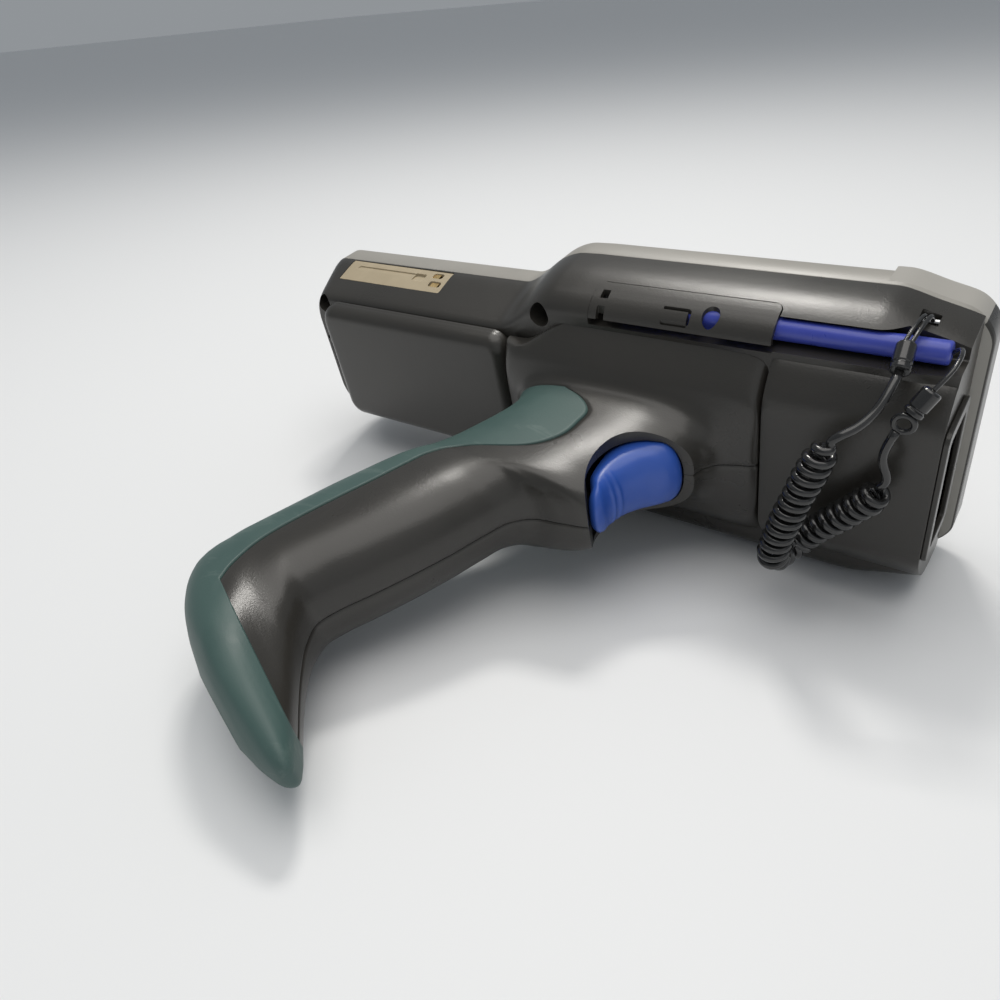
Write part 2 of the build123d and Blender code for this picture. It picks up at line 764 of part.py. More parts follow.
def scan_engine():
    body = block(engine_end - engine_length, engine_end, -engine_far, -engine_near, -engine_half, engine_half)
    body -= block(engine_end - 6, engine_end + 1, -engine_far + 2, -engine_near - 2, 1.5, engine_half - 1.5)
    return body - lens_bar(-lens_bore_length, 1, lens_radius)


def engine_lens():
    return lens_bar(seat - lens_bore_length, -1, lens_radius - seat)


def engine_bracket():
    y0, y1 = -engine_near + seat, board_top - board_thick - seat
    start = engine_end - engine_length
    plate = block(start, engine_end, y0, y0 + 1.5, -engine_half - 3, engine_half + 3)
    for side in (-1, 1):
        z = side * (engine_half + 1.2)
        plate += block(start, start + 7, y0, y1, z - 1.2, z + 1.2)
    return plate


# --- grip ----------------------------------------------------------------------

def grip_hollow():
    hollow = grip_form(grip_wall, hollow_stations)
    saddle_hollow = saddle_form(wall)
    return hollow + saddle_hollow


def rubber_zone(reach=40):
    return across(outline_face(rubber_outline), -reach, reach)


def grip_rubber():
    skin = grip_form() - grip_form(rubber_thick, hollow_stations + 1)
    zone = rubber_zone() - block(0, 260, -36, 0, -60, 60)
    rubber = skin & zone
    return keep_largest(rubber)


def keep_largest(shape):
    return shape.solids().sort_by(SortBy.VOLUME)[-1]


def trigger_opening():
    x0, x1, y0, y1 = trigger_slot
    half = trigger_half + slide_gap
    return block(x0, x1, y0, y1, -half, half)


def grip_shell(side):
    outer = grip_form() + saddle_form()
    shell = outer - grip_hollow()
    for x, y in grip_screws_at:
        shell += rod((x, y, -grip_screw_reach - 3), (x, y, grip_screw_reach + 3), screw_radius + boss_wall) & outer
    for z in (-1, 1):
        hub = rod((*pivot, z * (trigger_half + slide_gap)), (*pivot, z * 15.5), pivot_radius + boss_wall)
        shell += hub & outer
        shell += block(*switch_rib, *sorted((z * 6, z * 20))) & outer
    shell -= grip_rubber_cut()
    shell -= trigger_opening()
    shell -= rod((*pivot, -pin_reach - 0.4), (*pivot, pin_reach + 0.4), pivot_radius + 0.02)
    for x, y in grip_screws_at:
        shell -= rod((x, y, -40), (x, y, grip_screw_reach + 1), screw_radius + seat)
        shell -= rod((x, y, -40), (x, y, -grip_screw_reach), screw_head_radius + seat)
    for x, z in both_sides(screw_places()[:1]):
        shell -= pin_y(x, z, recess_radius + seat, -60, 0)
    low, high = (split + seat, 40) if side > 0 else (-40, split - seat)
    return keep_largest(shell & block(60, 200, -190, 0, low, high))


def grip_rubber_cut():
    skin = grip_form() - grip_form(rubber_thick + seat, hollow_stations + 1)
    return skin & (rubber_zone() - block(0, 260, -36, 0, -60, 60))


def grip_screws():
    solids = []
    for x, y in grip_screws_at:
        reach = grip_screw_reach
        shaft = rod((x, y, -reach), (x, y, reach), screw_radius)
        head = rod((x, y, -reach - screw_head_height), (x, y, -reach), screw_head_radius)
        slot = block(x - driver_half, x + driver_half, y - driver_half, y + driver_half, -reach - 4, -reach - 1.2)
        solids.append((shaft + head - slot).solids()[0])
    return Compound(children=solids)


def trigger_outline():
    front = Spline(*trigger_front)
    bottom = Line(trigger_front[-1], trigger_rear[0])
    rear = Polyline(*trigger_rear)
    top = Line(trigger_rear[-1], trigger_front[0])
    return make_face([front, bottom, rear, top])


def trigger():
    blade = across(trigger_outline(), -trigger_half, trigger_half)
    blade += rod((*pivot, -trigger_half), (*pivot, trigger_half), trigger_hub)
    return blade - rod((*pivot, -20), (*pivot, 20), pivot_radius + 0.05)


def trigger_pin():
    return rod((*pivot, -pin_reach), (*pivot, pin_reach), pivot_radius)


def trigger_switch():
    body = block(*switch_x, *switch_y, -switch_half, switch_half)
    return body + block(switch_x[1], plunger_x, *plunger_y, -plunger_half, plunger_half)


def switch_board():
    return block(*switch_board_x, *switch_board_y, -switch_board_half, switch_board_half)


def trigger_spring():
    # Coil spring drawn as a sleeve, behind the trigger.
    (start, end), y = spring_x, spring_y
    return rod((start, y, 0), (end, y, 0), spring_radius) - rod((start - 1, y, 0), (end + 1, y, 0), spring_bore)


# --- stylus and tether -------------------------------------------------------------

def stylus():
    y, z = -stylus_depth, stylus_z
    barrel = rod((stylus_start + stylus_tip_length, y, z), (stylus_end, y, z), stylus_radius)
    barrel = chamfer(barrel.edges().filter_by(GeomType.CIRCLE).sort_by(Axis.X)[-1], 0.6)
    neck = rod((stylus_start + stylus_tip_length - 2, y, z), (stylus_start + stylus_tip_length + 1, y, z), 1.6)
    return barrel + neck


def stylus_tip():
    y, z = -stylus_depth, stylus_z
    base = Plane(origin=(stylus_start + stylus_tip_length - 2 - seat, y, z), z_dir=(-1, 0, 0))
    reach = stylus_tip_length - 2 - seat
    return loft([base * Circle(1.9), base.offset(reach) * Circle(0.6)])


def shifted(route, dx, dy, dz):
    return [(x + dx, y + dy, z + dz) for x, y, z in route]


def tether_loop_anchor():
    solids = []
    for step in (-0.5, 0.5):
        route = shifted(anchor_route, anchor_x + step * strand_step, 0, 0)
        solids.append(tube(route, strand_radius, "anchor strand"))
    return Compound(children=solids)


def ferrule(ends):
    return rod(*ends, ferrule_radius)


def tether_lead_anchor():
    return tube(lead_a_route, lead_radius, "anchor lead")


def tether_coil():
    return tube(coil_route, coil_radius, "coil")


def tether_lead_stylus():
    return tube(lead_b_route, lead_radius, "stylus lead")


def tether_eyelet():
    plane = Plane(origin=eyelet_place, x_dir=(1, 0, 0), z_dir=(0, 1, 0))
    return plane * Torus(eyelet_radius, eyelet_wire)


def tether_loop_stylus():
    return tube(loop_b_route, strand_radius, "stylus strand")


# --- the parts, then laid on the left side ------------------------------------------

def head_reach(tilt):
    # How far the head's left edge reaches down when the device is turned by the tilt.
    return max(depth * math.sin(tilt) + (head_half - drop) * math.cos(tilt) for depth, drop in head_side)


def grip_reach(tilt):
    # The same for the lowest of the grip's rounded sections.
    reaches = []
    for rear, front, half, radius in grip_stations:
        run = Vector(*front) - Vector(*rear)
        middle = (rear[1] + front[1]) / 2
        along_run = math.sin(tilt) * abs(run.normalized().Y)
        corner = (run.length / 2 - radius) * along_run + (half - radius) * math.cos(tilt)
        reaches.append(corner + radius * math.hypot(along_run, math.cos(tilt)) - middle * math.sin(tilt))
    return max(reaches)


def lying_tilt():
    # The device rests on the head's left edge and the butt's left edge.
    low, high = 0.0, math.radians(25)
    for _ in range(40):
        tilt = (low + high) / 2
        if grip_reach(tilt) < head_reach(tilt):
            low = tilt
        else:
            high = tilt
    return math.degrees(tilt)


def build():
    nodes = {
        "front_bezel": front_bezel(),
        "head_bumper": head_bumper(),
        "display_glass": display_glass(),
        "display_gasket": display_gasket(),
        "display_module": display_module(),
        "keypad_mat": keypad_mat(),
        "keypad_board": keypad_board(),
        "power_key": power_key(),
        "rear_housing": rear_housing(),
        "stylus_cover": stylus_cover(),
        "contact_plate": contact_plate(),
        "contact_pads": contact_pads(),
        "housing_screws": housing_screws(),
        "docking_connector": docking_connector(),
        "main_board": main_board(),
        "board_parts": board_parts(),
        "backup_cell": backup_cell(),
        "speaker": speaker(),
        "antenna": antenna(),
        "battery_pack": battery_pack(),
        "battery_cell": battery_cell(),
        "battery_terminals": battery_terminals(),
        "battery_contacts": battery_contacts(),
        "battery_latch": battery_latch(),
        "latch_spring": latch_spring(),
        "scanner_cover": scanner_cover(),
        "scan_window": scan_window(),
        "window_frame": window_frame(),
        "scan_engine": scan_engine(),
        "engine_lens": engine_lens(),
        "engine_bracket": engine_bracket(),
        "grip_shell_right": grip_shell(1),
        "grip_shell_left": grip_shell(-1),
        "grip_rubber": grip_rubber(),
        "grip_screws": grip_screws(),
        "trigger": trigger(),
        "trigger_pin": trigger_pin(),
        "trigger_spring": trigger_spring(),
        "trigger_switch": trigger_switch(),
        "switch_board": switch_board(),
        "stylus": stylus(),
        "stylus_tip": stylus_tip(),
        "tether_anchor_pin": tether_anchor_pin(),
        "tether_loop_anchor": tether_loop_anchor(),
        "tether_ferrule_anchor": ferrule(ferrule_a),
        "tether_lead_anchor": tether_lead_anchor(),
        "tether_coil": tether_coil(),
        "tether_lead_stylus": tether_lead_stylus(),
        "tether_eyelet": tether_eyelet(),
        "tether_ferrule_stylus": ferrule(ferrule_b),
        "tether_loop_stylus": tether_loop_stylus(),
    }
    for name, places in keys().items():
        nodes[name] = key_node(places)
    return nodes


cords = ("tether_loop_anchor", "tether_lead_anchor", "tether_coil", "tether_lead_stylus", "tether_loop_stylus")


def laid_down(nodes):
    # Turned onto the left side, with the origin under the middle of the whole.
    turned = {name: Rot(lying_tilt(), 0, 0) * shape for name, shape in nodes.items()}
    boxes = [shape.bounding_box() for name, shape in turned.items() if name not in cords]
    x = (min(b.min.X for b in boxes) + max(b.max.X for b in boxes)) / 2
    y = (min(b.min.Y for b in boxes) + max(b.max.Y for b in boxes)) / 2
    z = min(b.min.Z for b in boxes)
    print("tilt", round(lying_tilt(), 3), "shift", round(-x, 4), round(-y, 4), round(-z, 4))
    return {name: Pos(-x, -y, -z) * shape for name, shape in turned.items()}


os.makedirs("parts", exist_ok=True)
for node, shape in laid_down(build()).items():
    export_step(shape, f"parts/{node}.step")
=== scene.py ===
import json
import math

import bmesh
import bpy
import numpy as np
from mathutils import Matrix, Vector


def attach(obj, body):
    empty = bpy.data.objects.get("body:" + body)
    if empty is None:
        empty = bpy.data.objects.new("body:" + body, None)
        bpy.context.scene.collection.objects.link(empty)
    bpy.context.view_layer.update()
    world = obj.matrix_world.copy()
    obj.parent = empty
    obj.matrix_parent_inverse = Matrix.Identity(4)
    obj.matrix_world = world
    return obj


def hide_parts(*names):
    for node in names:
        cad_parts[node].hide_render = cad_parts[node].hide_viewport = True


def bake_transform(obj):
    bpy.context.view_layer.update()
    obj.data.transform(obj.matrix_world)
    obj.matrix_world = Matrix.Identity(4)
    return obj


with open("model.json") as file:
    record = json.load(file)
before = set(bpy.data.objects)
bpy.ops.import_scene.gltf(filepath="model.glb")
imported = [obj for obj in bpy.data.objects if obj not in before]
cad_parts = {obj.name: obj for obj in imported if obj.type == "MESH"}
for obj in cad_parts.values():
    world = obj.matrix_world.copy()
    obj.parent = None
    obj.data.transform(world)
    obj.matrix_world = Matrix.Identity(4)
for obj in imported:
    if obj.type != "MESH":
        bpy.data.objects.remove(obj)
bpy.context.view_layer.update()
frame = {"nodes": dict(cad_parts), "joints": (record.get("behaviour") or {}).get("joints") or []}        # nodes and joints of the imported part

print("frame loaded", len(frame["nodes"]), "nodes")

# The device's own axes, in mm: x from keypad end to scanner end, y out of the screen, z across.
# The trigger's hinge gives how the device is turned and moved in the frame.
joints = {j["name"]: j for j in frame["joints"]} if isinstance(frame["joints"], list) else frame["joints"]
hinge = joints["trigger_pull"]
hingePlace = (157.0, -38.0, 0.0)
turnSin, turnCos = hinge["axis"][1], -hinge["axis"][2]
turn = np.array([[1, 0, 0], [0, turnCos, -turnSin], [0, turnSin, turnCos]])
moved = np.array(hinge["pos_m"]) - turn @ np.array(hingePlace) / 1000


def lay(points):
    # device millimetres to frame metres, for one point or an array of them
    return np.asarray(points, float) @ turn.T / 1000 + moved


# camera
cameraSet = {"place": (254.57, -210.02, 149.53), "look": (-0.53338, 0.57386, -0.62145),
             "right": (0.80732, 0.56465, -0.17150), "focal": 0.8227, "sensor": 36.0}


def makeCamera():
    data = bpy.data.cameras.new("camera")
    data.sensor_width = cameraSet["sensor"]
    data.lens = cameraSet["focal"] * cameraSet["sensor"]
    data.clip_start = 0.01
    camera = bpy.data.objects.new("camera", data)
    bpy.context.scene.collection.objects.link(camera)
    look = Vector(turn @ np.array(cameraSet["look"])).normalized()
    right = Vector(turn @ np.array(cameraSet["right"])).normalized()
    up = right.cross(look).normalized()
    right = look.cross(up).normalized()
    matrix = Matrix((right, up, -look)).transposed().to_4x4()
    matrix.translation = Vector(lay(cameraSet["place"]))
    camera.matrix_world = matrix
    bpy.context.scene.camera = camera


makeCamera()


def makeLight(name, place, aim, size, power, colour):
    data = bpy.data.lights.new(name, "AREA")
    data.shape = "RECTANGLE"
    data.size, data.size_y = size
    data.energy = power
    data.color = colour
    light = bpy.data.objects.new(name, data)
    bpy.context.scene.collection.objects.link(light)
    light.location = place
    light.rotation_euler = (Vector(aim) - Vector(place)).to_track_quat("-Z", "Y").to_euler()


floorSet = {"half": 15.0, "colour": (0.78, 0.79, 0.80, 1), "roughness": 0.6}


def makeFloor():
    mesh = bpy.data.meshes.new("floor")
    half = floorSet["half"]
    corners = [(-half, -half, 0), (half, -half, 0), (half, half, 0), (-half, half, 0)]
    mesh.from_pydata(corners, [], [(0, 1, 2, 3)])
    floor = bpy.data.objects.new("floor", mesh)
    bpy.context.scene.collection.objects.link(floor)
    mat = bpy.data.materials.new("floorPaint")
    mat.use_nodes = True
    shader = mat.node_tree.nodes["Principled BSDF"]
    shader.inputs["Base Color"].default_value = floorSet["colour"]
    shader.inputs["Roughness"].default_value = floorSet["roughness"]
    floor.data.materials.append(mat)


makeFloor()

# helpers
def quadFaces(rows, cols, closeRows=False, closeCols=False):
    # vertex numbers of the quads between neighbouring grid points, as one array
    i = np.arange(rows if closeRows else rows - 1)[:, None]
    j = np.arange(cols if closeCols else cols - 1)[None, :]
    a, b = i * cols + j, i * cols + (j + 1) % cols
    c, d = (i + 1) % rows * cols + (j + 1) % cols, (i + 1) % rows * cols + j
    return np.stack([a, b, c, d], -1).reshape(-1, 4)


def newPiece(name, points, faces, body, material, smooth=True, outward=True):
    # a mesh object from device points and faces; a closed one gets its faces turned outwards
    mesh = bpy.data.meshes.new(name)
    mesh.from_pydata(lay(points).tolist(), [], [list(f) for f in faces])
    piece = bpy.data.objects.new(name, mesh)
    bpy.context.scene.collection.objects.link(piece)
    tidyMesh(mesh, outward)
    mesh.polygons.foreach_set("use_smooth", [smooth] * len(mesh.polygons))
    if material:
        mesh.materials.append(material)
    if body:
        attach(piece, body)
    return piece


def standsFor(piece, slot, *nodes):
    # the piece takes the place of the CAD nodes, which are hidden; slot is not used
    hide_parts(*nodes)


def tidyMesh(mesh, outward=True):
    # merges doubled points, and turns the faces of a closed mesh outwards
    work = bmesh.new()
    work.from_mesh(mesh)
    bmesh.ops.remove_doubles(work, verts=work.verts, dist=2e-6)
    bmesh.ops.dissolve_degenerate(work, edges=work.edges, dist=1e-7)
    if outward:
        bmesh.ops.recalc_face_normals(work, faces=work.faces)
    work.to_mesh(mesh)
    work.free()


def cappedTube(rings):
    # closed solid through rings of equal length: quads between them and a face on each end
    count, around = rings.shape[:2]
    faces = quadFaces(count, around, closeCols=True).tolist()
    faces.append(list(range(around))[::-1])
    faces.append([(count - 1) * around + k for k in range(around)])
    return rings.reshape(-1, 3), faces


def through(keys, count):
    # smooth rows through the key rows: cubic pieces with slopes from the neighbours,
    # evenly spaced by the distance between keys
    keys = np.asarray(keys, float)
    step = np.linalg.norm(np.diff(keys[:, :4], axis=0), axis=1)
    place = np.concatenate([[0], np.cumsum(np.maximum(step, 1e-6))])
    slope = np.gradient(keys, place, axis=0)
    t = np.linspace(0, place[-1], count)
    i = np.clip(np.searchsorted(place, t, side="right") - 1, 0, len(place) - 2)
    h = (place[i + 1] - place[i])[:, None]
    s = (t - place[i])[:, None] / h
    return ((2 * s**3 - 3 * s**2 + 1) * keys[i] + (s**3 - 2 * s**2 + s) * h * slope[i]
            + (3 * s**2 - 2 * s**3) * keys[i + 1] + (s**3 - s**2) * h * slope[i + 1])


def rounded(points, count, cuts=2, closed=False):
    # corners cut a few times at a quarter of each side, then evenly spaced points
    line = np.asarray(points, float)
    for _ in range(cuts):
        ahead = np.roll(line, -1, axis=0) if closed else line[1:]
        here = line if closed else line[:-1]
        pair = np.stack([here * 0.75 + ahead * 0.25, here * 0.25 + ahead * 0.75], 1).reshape(-1, line.shape[1])
        line = pair if closed else np.concatenate([line[:1], pair, line[-1:]])
    if closed:
        line = np.concatenate([line, line[:1]])
    return evenly(line, count + 1)[:-1] if closed else evenly(line, count)


def placeAlong(line):
    # distance along a line of points, from its start
    step = np.linalg.norm(np.diff(line, axis=0), axis=1)
    return np.concatenate([[0], np.cumsum(step)])


def evenly(line, count):
    # evenly spaced points along a line of points
    place = placeAlong(line)
    t = np.linspace(0, place[-1], count)
    return np.stack([np.interp(t, place, line[:, k]) for k in range(line.shape[1])], 1)


def outOf(line):
    # unit vectors square to each point of a closed flat line, to its right
    along = np.roll(line, -1, axis=0) - np.roll(line, 1, axis=0)
    return np.stack([along[:, 1], -along[:, 0]], 1) / np.linalg.norm(along, axis=1)[:, None]


def smoothStep(t):
    t = np.clip(t, 0, 1)
    return t * t * (3 - 2 * t)


def cut(piece, cutters, operation="DIFFERENCE"):
    # joins each cutter to a closed piece by a boolean, taken out if nothing else is said
    for cutter in cutters:
        mod = piece.modifiers.new("cut", "BOOLEAN")
        mod.operation = operation
        mod.solver = "EXACT"
        mod.object = cutter
    shape = piece.evaluated_get(bpy.context.evaluated_depsgraph_get())
    result = bpy.data.meshes.new_from_object(shape)
    piece.modifiers.clear()
    piece.data = result
    for cutter in cutters:
        bpy.data.objects.remove(cutter)


def cutter(points, faces):
    # a closed shape that is only used to cut with
    return newPiece("cutter", points, faces, None, None, smooth=False)


def roundBar(start, end, radius, around=32):
    # straight round bar between two points, as rings
    start, end = np.array(start, float), np.array(end, float)
    axis = (end - start) / np.linalg.norm(end - start)
    side = np.cross(axis, [0, 0, 1.0] if abs(axis[2]) < 0.9 else [0, 1.0, 0])
    side /= np.linalg.norm(side)
    angle = np.linspace(0, 2 * np.pi, around, endpoint=False)[:, None]
    ring = radius * (np.cos(angle) * side + np.sin(angle) * np.cross(axis, side))
    return cappedTube(np.stack([start + ring, end + ring]))


def boxCuts(*boxes):
    # cutters from rows of low corner, high corner, edge radius and axis of the rounded edges
    return [cutter(*roundedBox(*box)) for box in boxes]


def roundedBox(low, high, radius, axis, corner=6):
    # box with its edges along one axis rounded, as two rings
    low, high = np.array(low, float), np.array(high, float)
    a, b = [k for k in range(3) if k != axis]
    angle = np.linspace(0, np.pi / 2, corner)
    ring = []
    for k, (sa, sb) in enumerate(((1, 1), (-1, 1), (-1, -1), (1, -1))):
        turned = angle + k * np.pi / 2
        ca = (high[a] - radius) if sa > 0 else (low[a] + radius)
        cb = (high[b] - radius) if sb > 0 else (low[b] + radius)
        ring.append(np.stack([ca + radius * np.cos(turned), cb + radius * np.sin(turned)], 1))
    ring = np.concatenate(ring)
    rings = np.zeros((2, len(ring), 3))
    rings[:, :, a], rings[:, :, b] = ring[:, 0], ring[:, 1]
    rings[0, :, axis], rings[1, :, axis] = low[axis], high[axis]
    return cappedTube(rings)


# materials
def newGroup(name, ins, outs):
    # a shader group with its sockets made and both ends in place
    group = bpy.data.node_groups.new(name, "ShaderNodeTree")
    for label, kind, value in ins:
        group.interface.new_socket(label, in_out="INPUT", socket_type=kind).default_value = value
    for label, kind in outs:
        group.interface.new_socket(label, in_out="OUTPUT", socket_type=kind)
    return group, group.nodes.new("NodeGroupInput"), group.nodes.new("NodeGroupOutput")


def nodeIn(tree, kind, **values):
    # a node with its inputs set by name, or by place for a key like "in1"
    node = tree.nodes.new(kind)
    for key, value in values.items():
        if key.startswith("in") and key[2:].isdigit():
            node.inputs[int(key[2:])].default_value = value
        elif hasattr(node, key):
            setattr(node, key, value)
        else:
            node.inputs[key.replace("_", " ")].default_value = value
    return node


def makeGrainGroup():
    # moulded grain: two sizes of noise raised as a very low bump
    tree, start, end = newGroup("mouldedGrain",
                                [("Size", "NodeSocketFloat", 2200.0), ("Strength", "NodeSocketFloat", 0.2)],
                                [("Normal", "NodeSocketVector"), ("Height", "NodeSocketFloat")])
    place = tree.nodes.new("ShaderNodeTexCoord")
    fine = nodeIn(tree, "ShaderNodeTexNoise", Detail=2.0, Roughness=0.6)
    coarse = nodeIn(tree, "ShaderNodeTexVoronoi")
    share = nodeIn(tree, "ShaderNodeMath", operation="MULTIPLY", in1=0.45)
    both = nodeIn(tree, "ShaderNodeMath", operation="MULTIPLY_ADD", in1=0.35)
    bump = nodeIn(tree, "ShaderNodeBump", Distance=0.00006)
    links = tree.links
    links.new(place.outputs["Object"], fine.inputs["Vector"])
    links.new(place.outputs["Object"], coarse.inputs["Vector"])
    links.new(start.outputs["Size"], fine.inputs["Scale"])
    links.new(start.outputs["Size"], share.inputs[0])
    links.new(share.outputs[0], coarse.inputs["Scale"])
    links.new(coarse.outputs["Distance"], both.inputs[0])
    links.new(fine.outputs["Fac"], both.inputs[2])
    links.new(both.outputs[0], bump.inputs["Height"])
    links.new(start.outputs["Strength"], bump.inputs["Strength"])
    links.new(bump.outputs["Normal"], end.inputs["Normal"])
    links.new(both.outputs[0], end.inputs["Height"])
    return tree


def makeHandlingGroup():
    # handling marks: large soft patches and thin scuffs stretched along the object
    tree, start, end = newGroup("handlingMarks",
                                [("Patches", "NodeSocketFloat", 26.0), ("Scuffs", "NodeSocketFloat", 90.0),
                                 ("Coverage", "NodeSocketFloat", 0.62)],
                                [("Patch", "NodeSocketFloat"), ("Scuff", "NodeSocketFloat")])
    place = tree.nodes.new("ShaderNodeTexCoord")
    patch = nodeIn(tree, "ShaderNodeTexNoise", Detail=5.0, Roughness=0.55, Distortion=0.6)
    turned = nodeIn(tree, "ShaderNodeMapping", Rotation=(0.3, 0.2, 0.95), Scale=(0.35, 2.2, 1.0))
    scuff = nodeIn(tree, "ShaderNodeTexNoise", Detail=9.0, Roughness=0.68, Distortion=1.3)
    low = nodeIn(tree, "ShaderNodeMapRange", in2=0.85)
    links = tree.links
    links.new(place.outputs["Object"], patch.inputs["Vector"])
    links.new(place.outputs["Object"], turned.inputs["Vector"])
    links.new(turned.outputs["Vector"], scuff.inputs["Vector"])
    links.new(start.outputs["Patches"], patch.inputs["Scale"])
    links.new(start.outputs["Scuffs"], scuff.inputs["Scale"])
    links.new(scuff.outputs["Fac"], low.inputs["Value"])
    links.new(start.outputs["Coverage"], low.inputs["From Min"])
    links.new(patch.outputs["Fac"], end.inputs["Patch"])
    links.new(low.outputs["Result"], end.inputs["Scuff"])
    return tree


grainGroup = makeGrainGroup()
handlingGroup = makeHandlingGroup()


def madeMaterial(name, dark, light, rough, grain=(2200, 0.2), marks=(26, 90, 0.66), scuff=(0.5, 0.5, 0.5),
                 scuffShare=0.2, roughSpread=0.1, **shaderValues):
    # colour between two shades by the patches, with pale scuffs over it; grain on the normal
    mat = bpy.data.materials.new(name)
    mat.use_nodes = True
    tree = mat.node_tree
    shader = tree.nodes["Principled BSDF"]
    grainNode = nodeIn(tree, "ShaderNodeGroup", node_tree=grainGroup)
    grainNode.inputs["Size"].default_value, grainNode.inputs["Strength"].default_value = grain
    marksNode = nodeIn(tree, "ShaderNodeGroup", node_tree=handlingGroup)
    for label, value in zip(("Patches", "Scuffs", "Coverage"), marks):
        marksNode.inputs[label].default_value = value
    shade = nodeIn(tree, "ShaderNodeMix", data_type="RGBA", in6=(*dark, 1), in7=(*light, 1))
    worn = nodeIn(tree, "ShaderNodeMix", data_type="RGBA", in7=(*scuff, 1))
    share = nodeIn(tree, "ShaderNodeMath", operation="MULTIPLY", in1=scuffShare)
    spread = nodeIn(tree, "ShaderNodeMapRange", in1=0.3, in2=0.7, in3=rough - roughSpread / 2,
                    in4=rough + roughSpread / 2)
    links = tree.links
    links.new(marksNode.outputs["Patch"], shade.inputs["Factor"])
    links.new(shade.outputs[2], worn.inputs[6])
    links.new(marksNode.outputs["Scuff"], share.inputs[0])
    links.new(share.outputs[0], worn.inputs["Factor"])
    links.new(marksNode.outputs["Patch"], spread.inputs["Value"])
    links.new(worn.outputs[2], shader.inputs["Base Color"])
    links.new(spread.outputs["Result"], shader.inputs["Roughness"])
    links.new(grainNode.outputs["Normal"], shader.inputs["Normal"])
    for key, value in shaderValues.items():
        shader.inputs[key.replace("_", " ")].default_value = value
    return mat


darkPlastic = madeMaterial("darkPlastic", (0.024, 0.0225, 0.020), (0.038, 0.035, 0.030), 0.3, (2300, 0.5),
                           (22, 120, 0.7), (0.16, 0.15, 0.14), 0.12, 0.08)
bezelPlastic = madeMaterial("bezelPlastic", (0.27, 0.26, 0.235), (0.34, 0.325, 0.295), 0.4, (2400, 0.3),
                            (24, 110, 0.68), (0.2, 0.19, 0.17), 0.2)
bumperPlastic = madeMaterial("bumperPlastic", (0.31, 0.30, 0.275), (0.38, 0.365, 0.335), 0.44, (2000, 0.35),
                             (30, 90, 0.62), (0.22, 0.21, 0.19), 0.3)
gripRubber = madeMaterial("gripRubber", (0.034, 0.072, 0.066), (0.058, 0.108, 0.098), 0.5, (1500, 0.45),
                          (34, 46, 0.56), (0.30, 0.36, 0.33), 0.4, 0.16)
triggerBlue = madeMaterial("triggerBlue", (0.022, 0.075, 0.36), (0.034, 0.105, 0.45), 0.33, (2600, 0.16),
                           (40, 140, 0.68), (0.25, 0.35, 0.7), 0.15)
stylusBlue = madeMaterial("stylusBlue", (0.035, 0.052, 0.34), (0.055, 0.078, 0.42), 0.3, (3000, 0.12),
                          (60, 160, 0.64), (0.3, 0.32, 0.6), 0.3)
tipBlack = madeMaterial("tipBlack", (0.015, 0.015, 0.015), (0.025, 0.025, 0.025), 0.4, (3000, 0.15))
cordBlack = madeMaterial("cordBlack", (0.009, 0.009, 0.009), (0.016, 0.016, 0.016), 0.17, (1500, 0.06),
                         (60, 200, 0.75), (0.1, 0.1, 0.1), 0.1, 0.06, Coat_Weight=0.3, Coat_Roughness=0.12)
plateTan = madeMaterial("plateTan", (0.33, 0.27, 0.18), (0.45, 0.38, 0.26), 0.38, (1800, 0.25),
                        (70, 150, 0.58), (0.2, 0.15, 0.09), 0.5)
keyRubber = madeMaterial("keyRubber", (0.06, 0.06, 0.065), (0.09, 0.09, 0.095), 0.58, (2400, 0.3),
                         (60, 150, 0.62), (0.3, 0.3, 0.3), 0.2)
keyBlue = madeMaterial("keyBlue", (0.04, 0.13, 0.42), (0.06, 0.17, 0.5), 0.56, (2400, 0.3), (60, 150, 0.62),
                       (0.4, 0.5, 0.7), 0.2)
screenGlass = madeMaterial("screenGlass", (0.012, 0.014, 0.016), (0.02, 0.022, 0.024), 0.07, (500, 0.01),
                           (30, 200, 0.7), (0.2, 0.2, 0.2), 0.12, 0.05, Coat_Weight=1.0, Coat_Roughness=0.03)
windowGlass = madeMaterial("windowGlass", (0.03, 0.003, 0.005), (0.05, 0.006, 0.008), 0.08, (500, 0.01),
                           (40, 200, 0.7), (0.2, 0.1, 0.1), 0.1, 0.05, Coat_Weight=1.0, Coat_Roughness=0.04)
sealRubber = madeMaterial("sealRubber", (0.02, 0.02, 0.02), (0.035, 0.035, 0.035), 0.7, (1600, 0.3))
steel = madeMaterial("steel", (0.45, 0.45, 0.46), (0.6, 0.6, 0.6), 0.3, (3000, 0.12), (120, 300, 0.6),
                     (0.3, 0.28, 0.26), 0.3, 0.15, Metallic=1.0)
goldPlate = madeMaterial("goldPlate", (0.75, 0.52, 0.22), (0.85, 0.62, 0.3), 0.28, (3000, 0.1),
                         (120, 300, 0.6), (0.4, 0.25, 0.12), 0.3, 0.1, Metallic=1.0)
boardGreen = madeMaterial("boardGreen", (0.012, 0.10, 0.045), (0.02, 0.14, 0.06), 0.35, (1200, 0.25),
                          (150, 300, 0.6), (0.3, 0.35, 0.25), 0.3)
chipBlack = madeMaterial("chipBlack", (0.018, 0.018, 0.018), (0.03, 0.03, 0.03), 0.5, (2600, 0.3))
cellWrap = madeMaterial("cellWrap", (0.36, 0.38, 0.41), (0.46, 0.48, 0.5), 0.35, (900, 0.15), (40, 120, 0.6),
                        (0.2, 0.2, 0.2), 0.2)
engineCast = madeMaterial("engineCast", (0.14, 0.14, 0.15), (0.2, 0.2, 0.21), 0.45, (1600, 0.5), Metallic=0.8)
